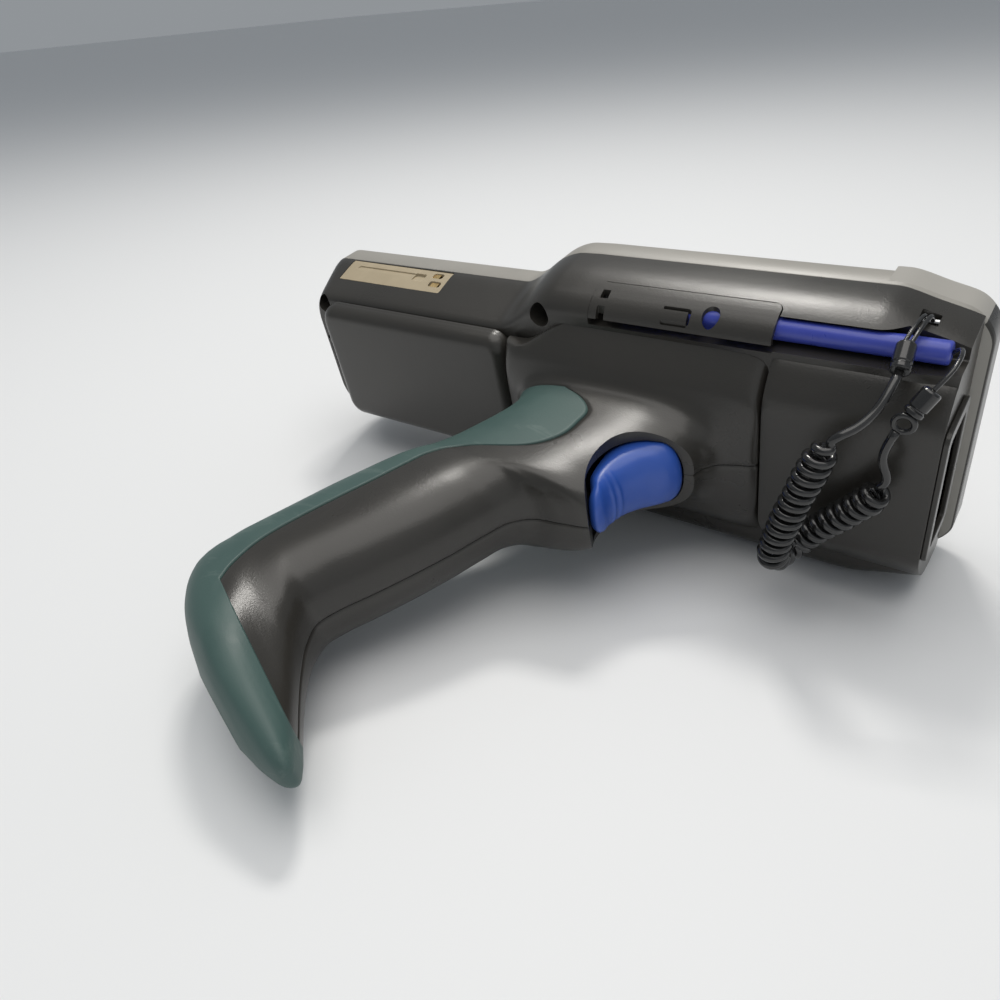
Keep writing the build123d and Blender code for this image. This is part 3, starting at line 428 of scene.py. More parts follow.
lensGlass = madeMaterial("lensGlass", (0.02, 0.03, 0.07), (0.03, 0.05, 0.1), 0.04, (500, 0.01),
                         Coat_Weight=1.0)


def dress(material, *nodes):
    # a CAD part keeps its shape and takes a better material
    for name in nodes:
        mesh = bpy.data.objects[name].data
        mesh.materials.clear()
        mesh.materials.append(material)


dress(screenGlass, "display_glass")
dress(sealRubber, "display_gasket", "keypad_mat")
dress(chipBlack, "display_module", "board_parts", "speaker", "trigger_switch", "docking_connector")
dress(steel, "housing_screws", "grip_screws", "backup_cell", "trigger_pin", "trigger_spring", "latch_spring",
      "tether_anchor_pin")
dress(boardGreen, "main_board", "keypad_board", "switch_board", "antenna")
dress(goldPlate, "contact_pads", "battery_terminals", "battery_contacts")
dress(cellWrap, "battery_cell")
dress(engineCast, "scan_engine", "engine_bracket")
dress(lensGlass, "engine_lens")
dress(windowGlass, "scan_window")
dress(darkPlastic, "battery_latch")
dress(cordBlack, "tether_loop_anchor", "tether_loop_stylus", "tether_eyelet")
print("materials done")


# grip shells, saddle and rubber
# rear x, rear y, front x, front y, half width, squareness, place of the rubber's edge (-1 rear, 1 front)
gripRows = [
    (100.9, -22.9, 186.9, -22.9, 31.2, 14, -0.5),
    (100.9, -25.2, 186.9, -25.2, 28.6, 11, -0.5),
    (101.3, -27.6, 186.9, -27.6, 25.6, 9, -0.5),
    (102.2, -29.8, 186.9, -29.8, 22.4, 7, -0.5),
    (104.4, -31.0, 185.6, -31.0, 19.8, 5.2, -0.5),
    (107.2, -32.4, 181.4, -32.2, 18.0, 4.0, -0.47),
    (108.9, -34.6, 177.2, -33.9, 17.0, 3.4, -0.44),
    (109.2, -37.4, 174.4, -36.6, 16.5, 3.1, -0.22),
    (108.3, -41.0, 172.5, -41.0, 16.1, 2.9, -0.02),
    (105.8, -47.5, 170.0, -48.0, 15.7, 2.8, 0.08),
    (102.4, -54.5, 166.6, -56.0, 15.4, 2.7, 0.13),
    (99.0, -61.0, 162.6, -64.0, 15.2, 2.6, 0.02),
    (96.0, -66.0, 157.8, -71.6, 15.2, 2.6, -0.32),
    (94.2, -69.0, 149.0, -73.8, 15.3, 2.5, -0.34),
    (93.2, -71.5, 140.5, -75.4, 15.6, 2.5, -0.29),
    (90.5, -76.0, 134.8, -79.8, 15.9, 2.5, -0.264),
    (88.0, -81.5, 131.4, -87.0, 16.3, 2.5, -0.23),
    (84.5, -89.5, 127.5, -97.0, 16.6, 2.5, -0.205),
    (81.0, -98.0, 122.5, -108.0, 16.8, 2.5, -0.19),
    (77.8, -106.5, 117.0, -119.0, 16.8, 2.5, -0.18),
    (75.2, -113.5, 112.4, -127.6, 16.8, 2.5, -0.15),
    (73.8, -117.2, 110.6, -133.2, 16.9, 2.5, -0.13),
    (72.2, -121.4, 112.8, -139.2, 17.1, 2.6, -0.16),
    (70.8, -125.6, 118.6, -147.0, 17.3, 2.7, -0.22),
    (69.9, -129.2, 125.4, -154.4, 17.5, 2.9, -0.27),
    (69.4, -132.4, 132.0, -161.0, 17.6, 3.0, -0.29),
]
buttRows = [
    (69.4, -132.4, 132.0, -161.0, 17.6, 3.0, -0.29),
    (70.0, -137.0, 136.4, -165.2, 17.7, 3.0, -0.29),
    (72.6, -142.0, 138.6, -168.2, 17.4, 3.0, -0.29),
    (78.0, -148.2, 136.8, -170.4, 16.0, 2.9, -0.29),
    (86.0, -154.4, 130.4, -170.8, 12.4, 2.7, -0.29),
    (96.0, -160.4, 121.0, -169.6, 6.0, 2.4, -0.29),
]
# rubberTop is the row of gripRows where the rubber starts; seam is the groove between the shells
gripSet = {"rowCount": 260, "frontCols": 56, "rearCols": 44, "rubberTop": 6, "groove": 0.45,
           "grooveWidth": 0.55, "seam": 0.35, "seamWidth": 0.45, "split": 0.06, "rubberProud": 0.12,
           "rubberThick": 1.6, "toe": 0.46, "toeStart": -117, "toeLength": 15, "buttRows": 60,
           "buttEase": 16, "buttEnd": -172.4}
edgeCol = gripSet["frontCols"] - 1        # the column that lies on the rubber's edge
# the saddle's half width beside the battery, and how it widens along x
saddleSet = {"narrow": 23.6, "widens": 7.6, "from": 106.0, "over": 18, "depth": -30.5, "fade": -3}


def gripLoops(rows, angle):
    # points on the rounded sections: along each chord by the cosine and out from it by the
    # sine, both pushed out to the squareness of that row
    rear, front = rows[:, None, 0:2], rows[:, None, 2:4]
    half, square = rows[:, None, 4], rows[:, None, 5]
    c, s = np.cos(angle), np.sin(angle)
    reach = (np.abs(c)**square + np.abs(s)**square)**(-1 / square)
    flat = (rear + front) / 2 + (front - rear) / 2 * (reach * c)[:, :, None]
    # the butt gets narrower towards its toe
    low = smoothStep((gripSet["toeStart"] - rows[:, 1:2]) / gripSet["toeLength"])
    toe = gripSet["toe"] * low * smoothStep((reach * c + 0.2) / 1.2)
    return np.concatenate([flat, (half * reach * s * (1 - toe))[:, :, None]], -1)


def edgeAngle(rows):
    # angle at which each row meets the rubber's edge
    place, square = np.clip(rows[:, 6], -0.98, 0.98), rows[:, 5]
    angle = np.linspace(0, np.pi, 400)[None, :]
    c, s = np.cos(angle), np.sin(angle)
    along = c * (np.abs(c)**square[:, None] + np.abs(s)**square[:, None])**(-1 / square[:, None])
    return np.array([np.interp(-p, -a, angle[0]) for p, a in zip(place, along)])


def besideBattery(points):
    # the saddle is narrower beside the battery
    wide = smoothStep((points[..., 0] - saddleSet["from"]) / saddleSet["over"])
    limit = saddleSet["narrow"] + saddleSet["widens"] * wide
    near = smoothStep((saddleSet["depth"] - points[..., 1]) / saddleSet["fade"])
    points[..., 2] = np.minimum(points[..., 2], limit) * near + points[..., 2] * (1 - near)
    return points


def outwardOf(points):
    # unit normals of a grid of points, from its two directions
    du, dv = np.gradient(points, axis=0), np.gradient(points, axis=1)
    normal = np.cross(du, dv)
    normal /= np.maximum(np.linalg.norm(normal, axis=-1, keepdims=True), 1e-9)
    return normal


def gripSurface(keys, count):
    # one side of the grip: the same number of columns before and behind the rubber's edge
    rows = through(keys, count)
    edge = edgeAngle(rows)[:, None]
    front = np.linspace(0, 1, gripSet["frontCols"])
    rear = np.linspace(0, 1, gripSet["rearCols"])[1:]
    return gripLoops(rows, np.concatenate([edge * front, edge + (np.pi - edge) * rear], 1))


def hollowLine(away, depth, width):
    # depth of a groove at a distance from its middle
    return depth * np.exp(-(away / width)**2)


def makeGrip():
    points = besideBattery(gripSurface(gripRows, gripSet["rowCount"]))
    normal = outwardOf(points)
    normal[:, 0], normal[:, -1] = normal[:, 1], normal[:, -2]
    middle = points.mean(axis=1, keepdims=True)
    normal *= np.sign((normal * (points - middle)).sum(-1).mean())
    normal[:, 0, 2] = normal[:, -1, 2] = 0
    # groove along the rubber's edge and along the joint of the two shells
    groove, width = gripSet["groove"], gripSet["grooveWidth"]
    keyPlace = placeAlong(np.asarray(gripRows)[:, :4])
    topRow = int(round(keyPlace[gripSet["rubberTop"]] / keyPlace[-1] * (len(points) - 1)))
    sideAway = np.linalg.norm(points - points[:, edgeCol:edgeCol + 1], axis=-1)
    topAway = np.linalg.norm(points - points[topRow:topRow + 1], axis=-1)
    below = (np.arange(len(points)) >= topRow)[:, None]
    behind = (np.arange(points.shape[1]) >= edgeCol)[None, :]
    depth = np.maximum(hollowLine(sideAway, groove, width) * below, hollowLine(topAway, groove, width) * behind)
    depth += hollowLine(points[..., 2], gripSet["seam"], gripSet["seamWidth"])
    shell = points - normal * depth[:, :, None]
    shell[..., 2] = np.maximum(shell[..., 2], gripSet["split"])
    for name, side in (("gripShellRight", 1), ("gripShellLeft", -1)):
        piece = newPiece(name, *cappedTube(shell * (1, 1, side)), "collector", darkPlastic)
        standsFor(piece, "grip_plastic", "grip_shell_right" if side > 0 else "grip_shell_left")
    # the rubber's strap: the rear columns below its top row, a little proud
    return points[topRow:, edgeCol:] + normal[topRow:, edgeCol:] * gripSet["rubberProud"]


strap = makeGrip()
print("grip done")


# rubber on the grip
def makeRubber():
    side = gripSurface(buttRows, gripSet["buttRows"])
    side[..., 1] = np.maximum(side[..., 1], gripSet["buttEnd"])
    # the butt starts on the strap's last row and eases back to its own section
    fade = smoothStep(1 - np.arange(len(side)) / gripSet["buttEase"])[:, None, None]
    side[:, edgeCol:] += (strap[-1] - side[0, edgeCol:]) * fade
    # whole loops round the butt, right side then left side
    loop = np.concatenate([side, side[:, -2:0:-1] * (1, 1, -1)], 1)
    pad = np.concatenate([strap, strap[:, -2::-1] * (1, 1, -1)], 1)
    around = loop.shape[1]
    points = np.concatenate([pad.reshape(-1, 3), loop.reshape(-1, 3)])
    faces = quadFaces(*pad.shape[:2]).tolist()
    faces += (quadFaces(len(loop), around, closeCols=True) + pad.shape[0] * pad.shape[1]).tolist()
    faces.append([len(points) - around + k for k in range(around)])
    piece = newPiece("gripRubber", points, faces, "collector", gripRubber)
    solid = piece.modifiers.new("thickness", "SOLIDIFY")
    solid.thickness = gripSet["rubberThick"] / 1000
    solid.offset = -1
    standsFor(piece, "grip_rubber", "grip_rubber")


makeRubber()
print("rubber done")

# trigger
# front x, y, middle of the section x, y, rear x, y, half width, down the trigger
triggerRows = [
    (164.6, -38.0, 162.6, -38.8, 157.6, -34.6, 8.6), (168.4, -40.0, 163.6, -41.3, 156.6, -36.4, 10.3),
    (169.8, -42.8, 162.0, -43.4, 155.5, -38.8, 10.6), (168.4, -46.4, 159.0, -45.6, 153.5, -42.0, 10.6),
    (163.2, -51.6, 155.4, -50.5, 151.8, -48.0, 10.2), (159.2, -58.0, 153.6, -56.5, 151.4, -55.0, 9.4),
    (157.8, -63.4, 153.8, -61.0, 151.6, -60.0, 8.8), (157.8, -67.0, 154.2, -63.0, 151.8, -61.6, 8.2),
    (157.0, -69.0, 153.8, -63.8, 152.0, -62.4, 7.4), (155.2, -68.8, 153.4, -64.2, 152.2, -62.9, 6.4),
    (153.2, -66.6, 152.9, -64.4, 152.4, -63.2, 4.8),
]
triggerSet = {"square": 2.1, "rows": 90, "around": 44, "under": 9, "ridge": 0.4, "ridgeWidth": 0.012,
              "ridges": (0.66, 0.72), "clear": 0.5, "pocketHalf": 11.3, "rimHalf": 30, "rimEdge": 0.5}
# outlines in x and y of the opening round the trigger and of the pocket behind it
rimCut = [(160.4, -79), (157.2, -73.4), (153.2, -67), (151.3, -61), (151.4, -54), (153.4, -48.6),
          (157.4, -44.8), (163, -42.7), (169.6, -41.3), (174, -40.2), (190, -39), (190, -79)]
pocketCut = [(145, -66.5), (144, -40), (147, -33), (160, -32.8), (163.4, -36.0), (160, -46), (156, -56),
             (155.6, -66.5)]


def prism(outline, low, high):
    # closed shape between two z levels over a rounded outline in x and y
    flat = rounded(outline, len(outline) * 8, closed=True)
    ring = np.zeros((2, len(flat), 3))
    ring[:, :, :2] = flat
    ring[0, :, 2], ring[1, :, 2] = low, high
    return cappedTube(ring)


def triggerRings(grow=0.0):
    # each section: a superellipse from one side over the front to the other, closed behind
    keys = np.array(triggerRows)
    rows = through(keys, triggerSet["rows"])
    front, middle, rear = rows[:, None, 0:2], rows[:, None, 2:4], rows[:, None, 4:6]
    angle = np.linspace(-np.pi / 2, np.pi / 2, triggerSet["around"])
    power = 2 / triggerSet["square"]
    share = np.clip(np.cos(angle), 0, 1)**power
    place = np.linspace(0, 1, len(rows))[:, None]
    ridge = sum(hollowLine(place - r, triggerSet["ridge"], triggerSet["ridgeWidth"]) for r in triggerSet["ridges"])
    reach = front - middle
    length = np.linalg.norm(reach, axis=2, keepdims=True)
    out = reach * (1 + (grow + ridge[:, :, None]) / length)
    half = rows[:, 6:7] + grow
    across = half * np.sign(np.sin(angle)) * np.abs(np.sin(angle))**power
    over = np.concatenate([middle + out * share[None, :, None], across[:, :, None]], 2)
    back = np.linspace(1, -1, triggerSet["under"])[None, :, None]
    under = np.concatenate([np.broadcast_to(rear, (len(rows), triggerSet["under"], 2)), half[:, :, None] * back], 2)
    return np.concatenate([over, under], 1)


def makeTrigger():
    piece = newPiece("trigger", *cappedTube(triggerRings()), "trigger", triggerBlue)
    standsFor(piece, "trigger_plastic", "trigger")


def softEdges(piece, width, segments=3, angle=38):
    # small rounded edges where faces meet sharply
    piece.data.set_sharp_from_angle(angle=math.radians(angle))
    bevel = piece.modifiers.new("edges", "BEVEL")
    bevel.width = width / 1000
    bevel.segments = segments
    bevel.limit_method = "ANGLE"
    bevel.angle_limit = math.radians(angle)
    bevel.harden_normals = True
    bevel.use_clamp_overlap = True


def openShells():
    # pocket, room round the trigger and the rim's outline, out of both grip shells
    pocket, rim = triggerSet["pocketHalf"], triggerSet["rimHalf"]
    for name in ("gripShellRight", "gripShellLeft"):
        shell = bpy.data.objects[name]
        cut(shell, [cutter(*prism(pocketCut, -pocket, pocket)),
                    cutter(*cappedTube(triggerRings(triggerSet["clear"]))), cutter(*prism(rimCut, -rim, rim))])
        softEdges(shell, triggerSet["rimEdge"])


makeTrigger()
openShells()
print("trigger done")

# rear housing
# halves are the half widths at places along x; the sides are rows of depth and how far in from there
bodySet = {"end": 231.8, "cornerRadius": 7.0, "lean": 6.4, "leanDepth": 21, "leanReach": 45.0,
           "neck": (95.5, 117.0), "sideCount": 46, "backCount": 14, "edge": 0.3,
           "places": (0, 95.1, 99.5, 104.1, 108.5, 112.6, 116.5, 123.7, 212.5, 216, 221, 225.7, 230.3, 235),
           "halves": (30.3, 30.8, 33.1, 36.6, 40.0, 42.1, 43.3, 43.6, 43.7, 42.8, 41.2, 40.0, 38.7, 36.8),
           "keypadSide": [(0, 0), (3, 0.2), (11.3, 2.6), (18.4, 4.8), (20.6, 6.4), (21, 8.8)],
           "headSide": [(0, 0), (4, 0.15), (9, 0.6), (13.5, 1.6), (18.5, 3.4), (22, 6.3), (23.2, 9.3), (22.8, 13.0)]}
# battery well, latch, contact plate, stylus cover, stylus, tether pocket, docking port
housingCuts = [((22, -40, -21.8), (99.6, -9, 21.8), 1.5, 1), ((7.1, -40, -7.8), (13.6, -18.6, 7.8), 1.0, 1),
               ((12.4, -11.4, 26.4), (62.7, -0.5, 50), 0.8, 2), ((131.5, -34, 32.5), (187.2, -13.4, 60), 2.8, 2),
               ((187.0, -40, 33.0), (240, -13.4, 40.5), 0.6, 0), ((218.7, -11.0, 36.0), (223.3, -6.4, 50), 0.4, 2),
               ((-5, -11.1, -9.1), (3.4, -3.9, 9.1), 1.2, 0)]
screwRecesses = [(113.5, 32.5, 3.7), (11.0, 21.5, 3.3)]        # x, z to each side, radius
recessDepth = (-40, -9)


def halfWidth(x):
    # half width at the parting line, with its corners eased over 3 mm
    shift = np.linspace(-1.5, 1.5, 9)
    return np.interp(np.asarray(x)[..., None] + shift, bodySet["places"], bodySet["halves"]).mean(-1)


def roundedEnd(x, half):
    # plan corners at the keypad end
    r = bodySet["cornerRadius"]
    t = np.clip(1 - x / r, 0, 1)
    return half - r * (1 - np.sqrt(1 - t**2))


def makeHousing():
    # closer rows at the rounded end, at the neck and at the scanner end
    x = np.concatenate([bodySet["cornerRadius"] * (1 - np.cos(np.linspace(0, np.pi / 2, 10))),
                        np.arange(9, 94, 3.0), np.arange(94, 120, 1.0), np.arange(120, 210, 3.0),
                        np.arange(210, bodySet["end"], 1.2), [bodySet["end"]]])
    half = roundedEnd(x, halfWidth(x))
    neckStart, neckEnd = bodySet["neck"]
    mix = smoothStep((x - neckStart) / (neckEnd - neckStart))[:, None, None]
    sides = [rounded(bodySet[k], bodySet["sideCount"]) for k in ("keypadSide", "headSide")]
    side = sides[0] * (1 - mix) + sides[1] * mix
    depth = np.concatenate([side[:, :, 0], np.repeat(side[:, -1:, 0], bodySet["backCount"], 1)], 1)
    width = half[:, None] - side[:, :, 1]
    inner = width[:, -1:] * np.linspace(1, 0, bodySet["backCount"] + 1)[1:]
    width = np.concatenate([width, inner], 1)
    # the keypad end leans in with depth, fading out along the body
    fade = np.clip(1 - x / bodySet["leanReach"], 0, 1)[:, None]
    lean = bodySet["lean"] * depth / bodySet["leanDepth"] * fade
    right = np.stack([x[:, None] + lean, -depth, width], -1)
    left = right[:, -2::-1] * (1, 1, -1)
    housing = newPiece("rearHousing", *cappedTube(np.concatenate([right, left], 1)), "collector", darkPlastic)
    cuts = boxCuts(*housingCuts)
    low, high = recessDepth
    for side in (-1, 1):
        cuts += [cutter(*roundBar((x, low, z * side), (x, high, z * side), r)) for x, z, r in screwRecesses]
    cut(housing, cuts)
    softEdges(housing, bodySet["edge"], 2)
    standsFor(housing, "housing_plastic", "rear_housing")
    return sides[1]


headProfile = makeHousing()
print("housing done")

# bezel and bumper
bezelSet = {"top": 10.3, "round": 2.6, "front": 235.0, "frontRadius": 8.0, "levels": 10, "edge": 0.35,
            "cuts": [((128, 7.9, -28), (202, 20, 28), 2.0, 1), ((123.8, 0.8, -32.2), (206.2, 7.95, 32.2), 1.0, 1)],
            "vents": 5, "vent": (210.5, 211.8, 6), "ventStep": 3.2}
bumperSet = {"start": 205.9, "low": (1.7, 2.1), "top": 12.6, "round": (2.2, 2.4), "under": 9.4, "rise": (205.5, 3.0),
             "edge": 0.5, "cut": ((190, 0, -30), (226, 30, 30), 5, 1)}
keySet = {"rows": 5, "first": 22.0, "rowStep": 12, "colStep": 10.4, "half": (4.0, 3.8), "gap": 0.35, "corner": 1.6}
# x, z and half sizes; the power key's hole is round
largeKeys = {"scan_key": (86, 0, 4.5, 9.0), "left_key": (86, 17.5, 4.5, 3.8), "right_key": (86, -17.5, 4.5, 3.8),
             "enter_key": (104, 8, 4.0, 7.6), "power_key": (104, -10, 3.6, 3.6)}
endFace = {"facing": 0.4, "from": 232}        # what counts as the end face towards the scanner


def keyRow(row):
    # middles and half sizes of the five keys in one row
    x = keySet["first"] + keySet["rowStep"] * row
    return [(x, keySet["colStep"] * (k - 2), *keySet["half"]) for k in range(5)]


def planOutline(inset):
    # closed outline in x and z, moved inwards along its own normals
    x = np.concatenate([7 * (1 - np.cos(np.linspace(0.02, np.pi / 2, 12))), np.arange(9, 94, 4.0),
                        np.arange(94, 120, 1.0), np.arange(120, 208, 4.0), np.arange(208, 227, 1.0),
                        bezelSet["front"] - bezelSet["frontRadius"] * (1 - np.sin(np.linspace(0, np.pi / 2, 12)))])
    t = np.clip((x - (bezelSet["front"] - bezelSet["frontRadius"])) / bezelSet["frontRadius"], 0, 1)
    half = roundedEnd(x, halfWidth(x)) - bezelSet["frontRadius"] * 0.9 * (1 - np.sqrt(np.maximum(1 - t**2, 0)))
    right = np.stack([x, half], 1)
    loop = np.concatenate([right, right[::-1] * (1, -1)])
    normal = outOf(loop)
    inward = -normal * np.sign((normal * (loop - loop.mean(0))).sum(1).mean())
    return loop[None] + inward[None] * np.asarray(inset)[:, None, None]


def darkEnd(piece):
    # the end face towards the scanner is dark plastic like the housing
    piece.data.materials.append(darkPlastic)
    normal = np.zeros(len(piece.data.polygons) * 3)
    middle = np.zeros(len(piece.data.polygons) * 3)
    piece.data.polygons.foreach_get("normal", normal)
    piece.data.polygons.foreach_get("center", middle)
    x = (middle.reshape(-1, 3)[:, 0] - moved[0]) * 1000
    facing = (normal.reshape(-1, 3)[:, 0] > endFace["facing"]) & (x > endFace["from"])
    piece.data.polygons.foreach_set("material_index", facing.astype(int))


def makeBezel():
    turnAngle = np.linspace(0, np.pi / 2, bezelSet["levels"])
    y = np.concatenate([[0.0, 0.25, 0.5], bezelSet["top"] - bezelSet["round"] * (1 - np.sin(turnAngle))])
    inset = np.concatenate([[0.5, 0.15, 0.0], 0.15 + bezelSet["round"] * (1 - np.cos(turnAngle))])
    flat = planOutline(inset)
    rings = np.stack([flat[..., 0], np.broadcast_to(y[:, None], flat.shape[:2]), flat[..., 1]], -1)
    bezel = newPiece("frontBezel", *cappedTube(rings), "collector", bezelPlastic)
    # screen opening and room for the display, then the key holes and the speaker slots
    gap = keySet["gap"]
    holes = [(key, keySet["corner"]) for row in range(keySet["rows"]) for key in keyRow(row)]
    holes += [(key, keySet["corner"] + 0.2) for name, key in largeKeys.items() if name != "power_key"]
    cuts = boxCuts(*bezelSet["cuts"])
    cuts += boxCuts(*[((x - a - gap, 5, z - b - gap), (x + a + gap, 20, z + b + gap), r, 1)
                      for (x, z, a, b), r in holes])
    x, z, radius, _ = largeKeys["power_key"]
    cuts.append(cutter(*roundBar((x, 5, z), (x, 20, z), radius + gap)))
    start, end, half = bezelSet["vent"]
    shifts = [bezelSet["ventStep"] * k for k in range(bezelSet["vents"])]
    cuts += boxCuts(*[((start + shift, 8.0, -half), (end + shift, 20, half), 0.6, 1) for shift in shifts])
    cut(bezel, cuts)
    darkEnd(bezel)
    softEdges(bezel, bezelSet["edge"], 2)
    standsFor(bezel, "bezel_plastic", "front_bezel")


def makeBumper():
    turnAngle = np.linspace(0, np.pi / 2, 8)
    drop, inward = bumperSet["round"]
    y = np.concatenate([bumperSet["low"], bumperSet["top"] - drop * (1 - np.sin(turnAngle))])
    flat = planOutline(np.concatenate([[0.4, 0.0], inward * (1 - np.cos(turnAngle))]))
    flat = flat[:, flat[0, :, 0] >= bumperSet["start"]]
    rings = np.stack([flat[..., 0], np.broadcast_to(y[:, None], flat.shape[:2]), flat[..., 1]], -1)
    # grows out of the bezel over its first millimetres
    start, over = bumperSet["rise"]
    rise, under = smoothStep((rings[..., 0] - start) / over), bumperSet["under"]
    rings[..., 1] = np.where(rings[..., 1] > 9, under + (rings[..., 1] - under) * rise, rings[..., 1])
    bumper = newPiece("headBumper", *cappedTube(rings), "collector", bumperPlastic)
    cut(bumper, boxCuts(bumperSet["cut"]))
    darkEnd(bumper)
    softEdges(bumper, bumperSet["edge"], 3)
    standsFor(bumper, "bumper_plastic", "head_bumper")


makeBezel()
makeBumper()
print("bezel done")

# battery cover
# the corners are x, z and radius; the body fills the well under the cover, with a room for the cell
batterySet = {"low": -21.35, "high": -28.2, "shoulder": 5.2, "crown": 0.1, "middle": (60.4, 0, 0.0), "edge": 0.3,
              "corners": ((93.6, 17.8, 6.5), (21.3, 17.1, 7.2), (21.3, -17.1, 7.2), (93.6, -17.8, 6.5)),
              "body": ((22.4, -22.6, -21.4), (99.2, -9.5, 21.4), 1.2, 1),
              "room": ((23.6, -23.4, -20.2), (86.3, -5, 20.2), 0.5, 1)}


def makeBattery():
    # an even drop from the seam, then a rounded shoulder up to the crowned back
    low, high, r = batterySet["low"], batterySet["high"], batterySet["shoulder"]
    turnAngle = np.linspace(0, np.pi / 2, 14)
    y = np.concatenate([[low + 0.02, low, low - 0.4, low - 1.4], high + r * (1 - np.sin(turnAngle))])
    inset = np.concatenate([[3.2, 0.7, 0.1, 0.0], 0.1 + r * 0.9 * (1 - np.cos(turnAngle))])
    ring = []
    for quarter, (x, z, radius) in enumerate(batterySet["corners"]):
        a = turnAngle + quarter * np.pi / 2
        ring.append(np.stack([x + radius * np.cos(a), z + radius * np.sin(a)], 1))
    ring = np.concatenate(ring)
    flat = ring[None] - outOf(ring)[None] * inset[:, None, None]
    points = np.stack([flat[..., 0], np.broadcast_to(y[:, None], flat.shape[:2]), flat[..., 1]], -1)
    # extra rings across the back, crowned towards the middle
    keep = np.linspace(1, 0, 9)[1:-1]
    middle = np.array(batterySet["middle"])
    back = middle + (points[-1:] - middle) * keep[:, None, None]
    back[..., 1] = high - batterySet["crown"] * (1 - keep**2)[:, None]
    battery = newPiece("batteryPack", *cappedTube(np.concatenate([points, back])), "battery", darkPlastic)
    cut(battery, boxCuts(batterySet["body"]), "UNION")
    cut(battery, boxCuts(batterySet["room"]))
    softEdges(battery, batterySet["edge"], 2, 50)
    standsFor(battery, "housing_plastic", "battery_pack")


makeBattery()
print("battery done")

# scanner block
# depth and half width down the block's side, then its room and the frame round the window
blockSide = [(22.6, 31.2), (23.4, 30.6), (24.8, 29.2), (26.4, 27.0), (28.6, 23.6), (29.7, 20.6), (30.0, 17.5)]
blockSet = {"ends": ([187.35, 187.9, 231.2, 231.8], [0.35, 0.0, 0.0, 0.35]), "depth": 30, "from": 22.5, "edge": 0.3,
            "room": ((190, -26.5, -18), (240, -5, 18), 1, 0)}
windowSet = {"frame": ((231.8, -29.3, -21), (233.2, -7.2, 21), 3.0, 0), "edge": 0.35,
             "hole": ((230, -26, -17.5), (240, -10.5, 17.5), 1.8, 0)}


def makeBlock():
    # carried along x, drawn in a little at both ends
    x = np.concatenate([[187.35, 187.6], np.linspace(188, 231.3, 26), [231.8]])
    inset = np.interp(x, *blockSet["ends"])
    side = rounded(blockSide, 40)
    depth = np.concatenate([side[:, 0], np.full(8, side[-1, 0])])
    width = np.concatenate([side[:, 1], side[-1, 1] * np.linspace(1, 0, 9)[1:]])
    grow, start = 1 - inset[:, None] / blockSet["depth"], blockSet["from"]
    right = np.stack([np.broadcast_to(x[:, None], (len(x), len(depth))), -start - (depth - start)[None] * grow,
                      width[None] * grow], -1)
    both = np.concatenate([right, right[:, -2::-1] * (1, 1, -1)], 1)
    block = newPiece("scannerCover", *cappedTube(both), "collector", darkPlastic)
    cut(block, boxCuts(blockSet["room"]))
    softEdges(block, blockSet["edge"], 2)
    standsFor(block, "housing_plastic", "scanner_cover")
    rim = newPiece("windowFrame", *roundedBox(*windowSet["frame"]), "collector", darkPlastic, smooth=False)
    cut(rim, boxCuts(windowSet["hole"]))
    softEdges(rim, windowSet["edge"], 3)
    standsFor(rim, "housing_plastic", "window_frame")


makeBlock()
print("scanner done")

# stylus cover
coverSet = {"start": 131.8, "end": 186.9, "near": 13.7, "farInset": 9.3, "side": 43.65, "lift": 0.35, "thick": 1.2,
            "cols": 44, "rows": 30, "edge": 0.25, "outline": ((131.8, -34, 20), (186.9, -13.7, 60), 2.5, 2),
            # two square holes, then the slot round three sides of the springy tongue
            "cuts": [((134.4, -19.5, 30), (137.0, -16.9, 50), 0.3, 2),
                     ((134.4, -23.9, 30), (137.0, -21.3, 50), 0.3, 2),
                     ((155.0, -22.9, 30), (163.0, -22.1, 50), 0.35, 2),
                     ((155.0, -20.1, 30), (163.0, -19.3, 50), 0.35, 2),
                     ((162.6, -22.6, 30), (163.5, -19.6, 50), 0.35, 2)],
            "hole": ((169.2, -20.2, 30), (169.2, -20.2, 50), 2.5)}


def makeCover():
    # skin on the head's side: the profile between two depths, carried along x
    x = np.linspace(coverSet["start"], coverSet["end"], coverSet["rows"])
    inside = headProfile[(headProfile[:, 0] > coverSet["near"]) & (headProfile[:, 1] < coverSet["farInset"])]
    depth = np.linspace(0, 1, coverSet["cols"])
    place = np.linspace(0, 1, len(inside))
    line = np.stack([np.interp(depth, place, inside[:, 0]), np.interp(depth, place, inside[:, 1])], 1)
    tangent = np.gradient(line, axis=0)
    # unit normal of the profile, out of the housing
    out = np.stack([tangent[:, 1], tangent[:, 0]], 1) / np.linalg.norm(tangent, axis=1)[:, None]
    skins = []
    for lift in (coverSet["lift"], -coverSet["thick"]):
        y = -(line[:, 0] + out[:, 0] * lift)
        z = coverSet["side"] - line[:, 1] + out[:, 1] * lift
        skins.append(np.stack(np.broadcast_arrays(x[:, None], y, z), -1))
    ring = np.concatenate([skins[0], skins[1][:, ::-1]], 1)
    cover = newPiece("stylusCover", *cappedTube(ring), "collector", darkPlastic)
    cut(cover, boxCuts(coverSet["outline"]), "INTERSECT")
    cut(cover, boxCuts(*coverSet["cuts"]) + [cutter(*roundBar(*coverSet["hole"]))])
    softEdges(cover, coverSet["edge"], 2)
    standsFor(cover, "housing_plastic", "stylus_cover")


makeCover()
print("cover done")

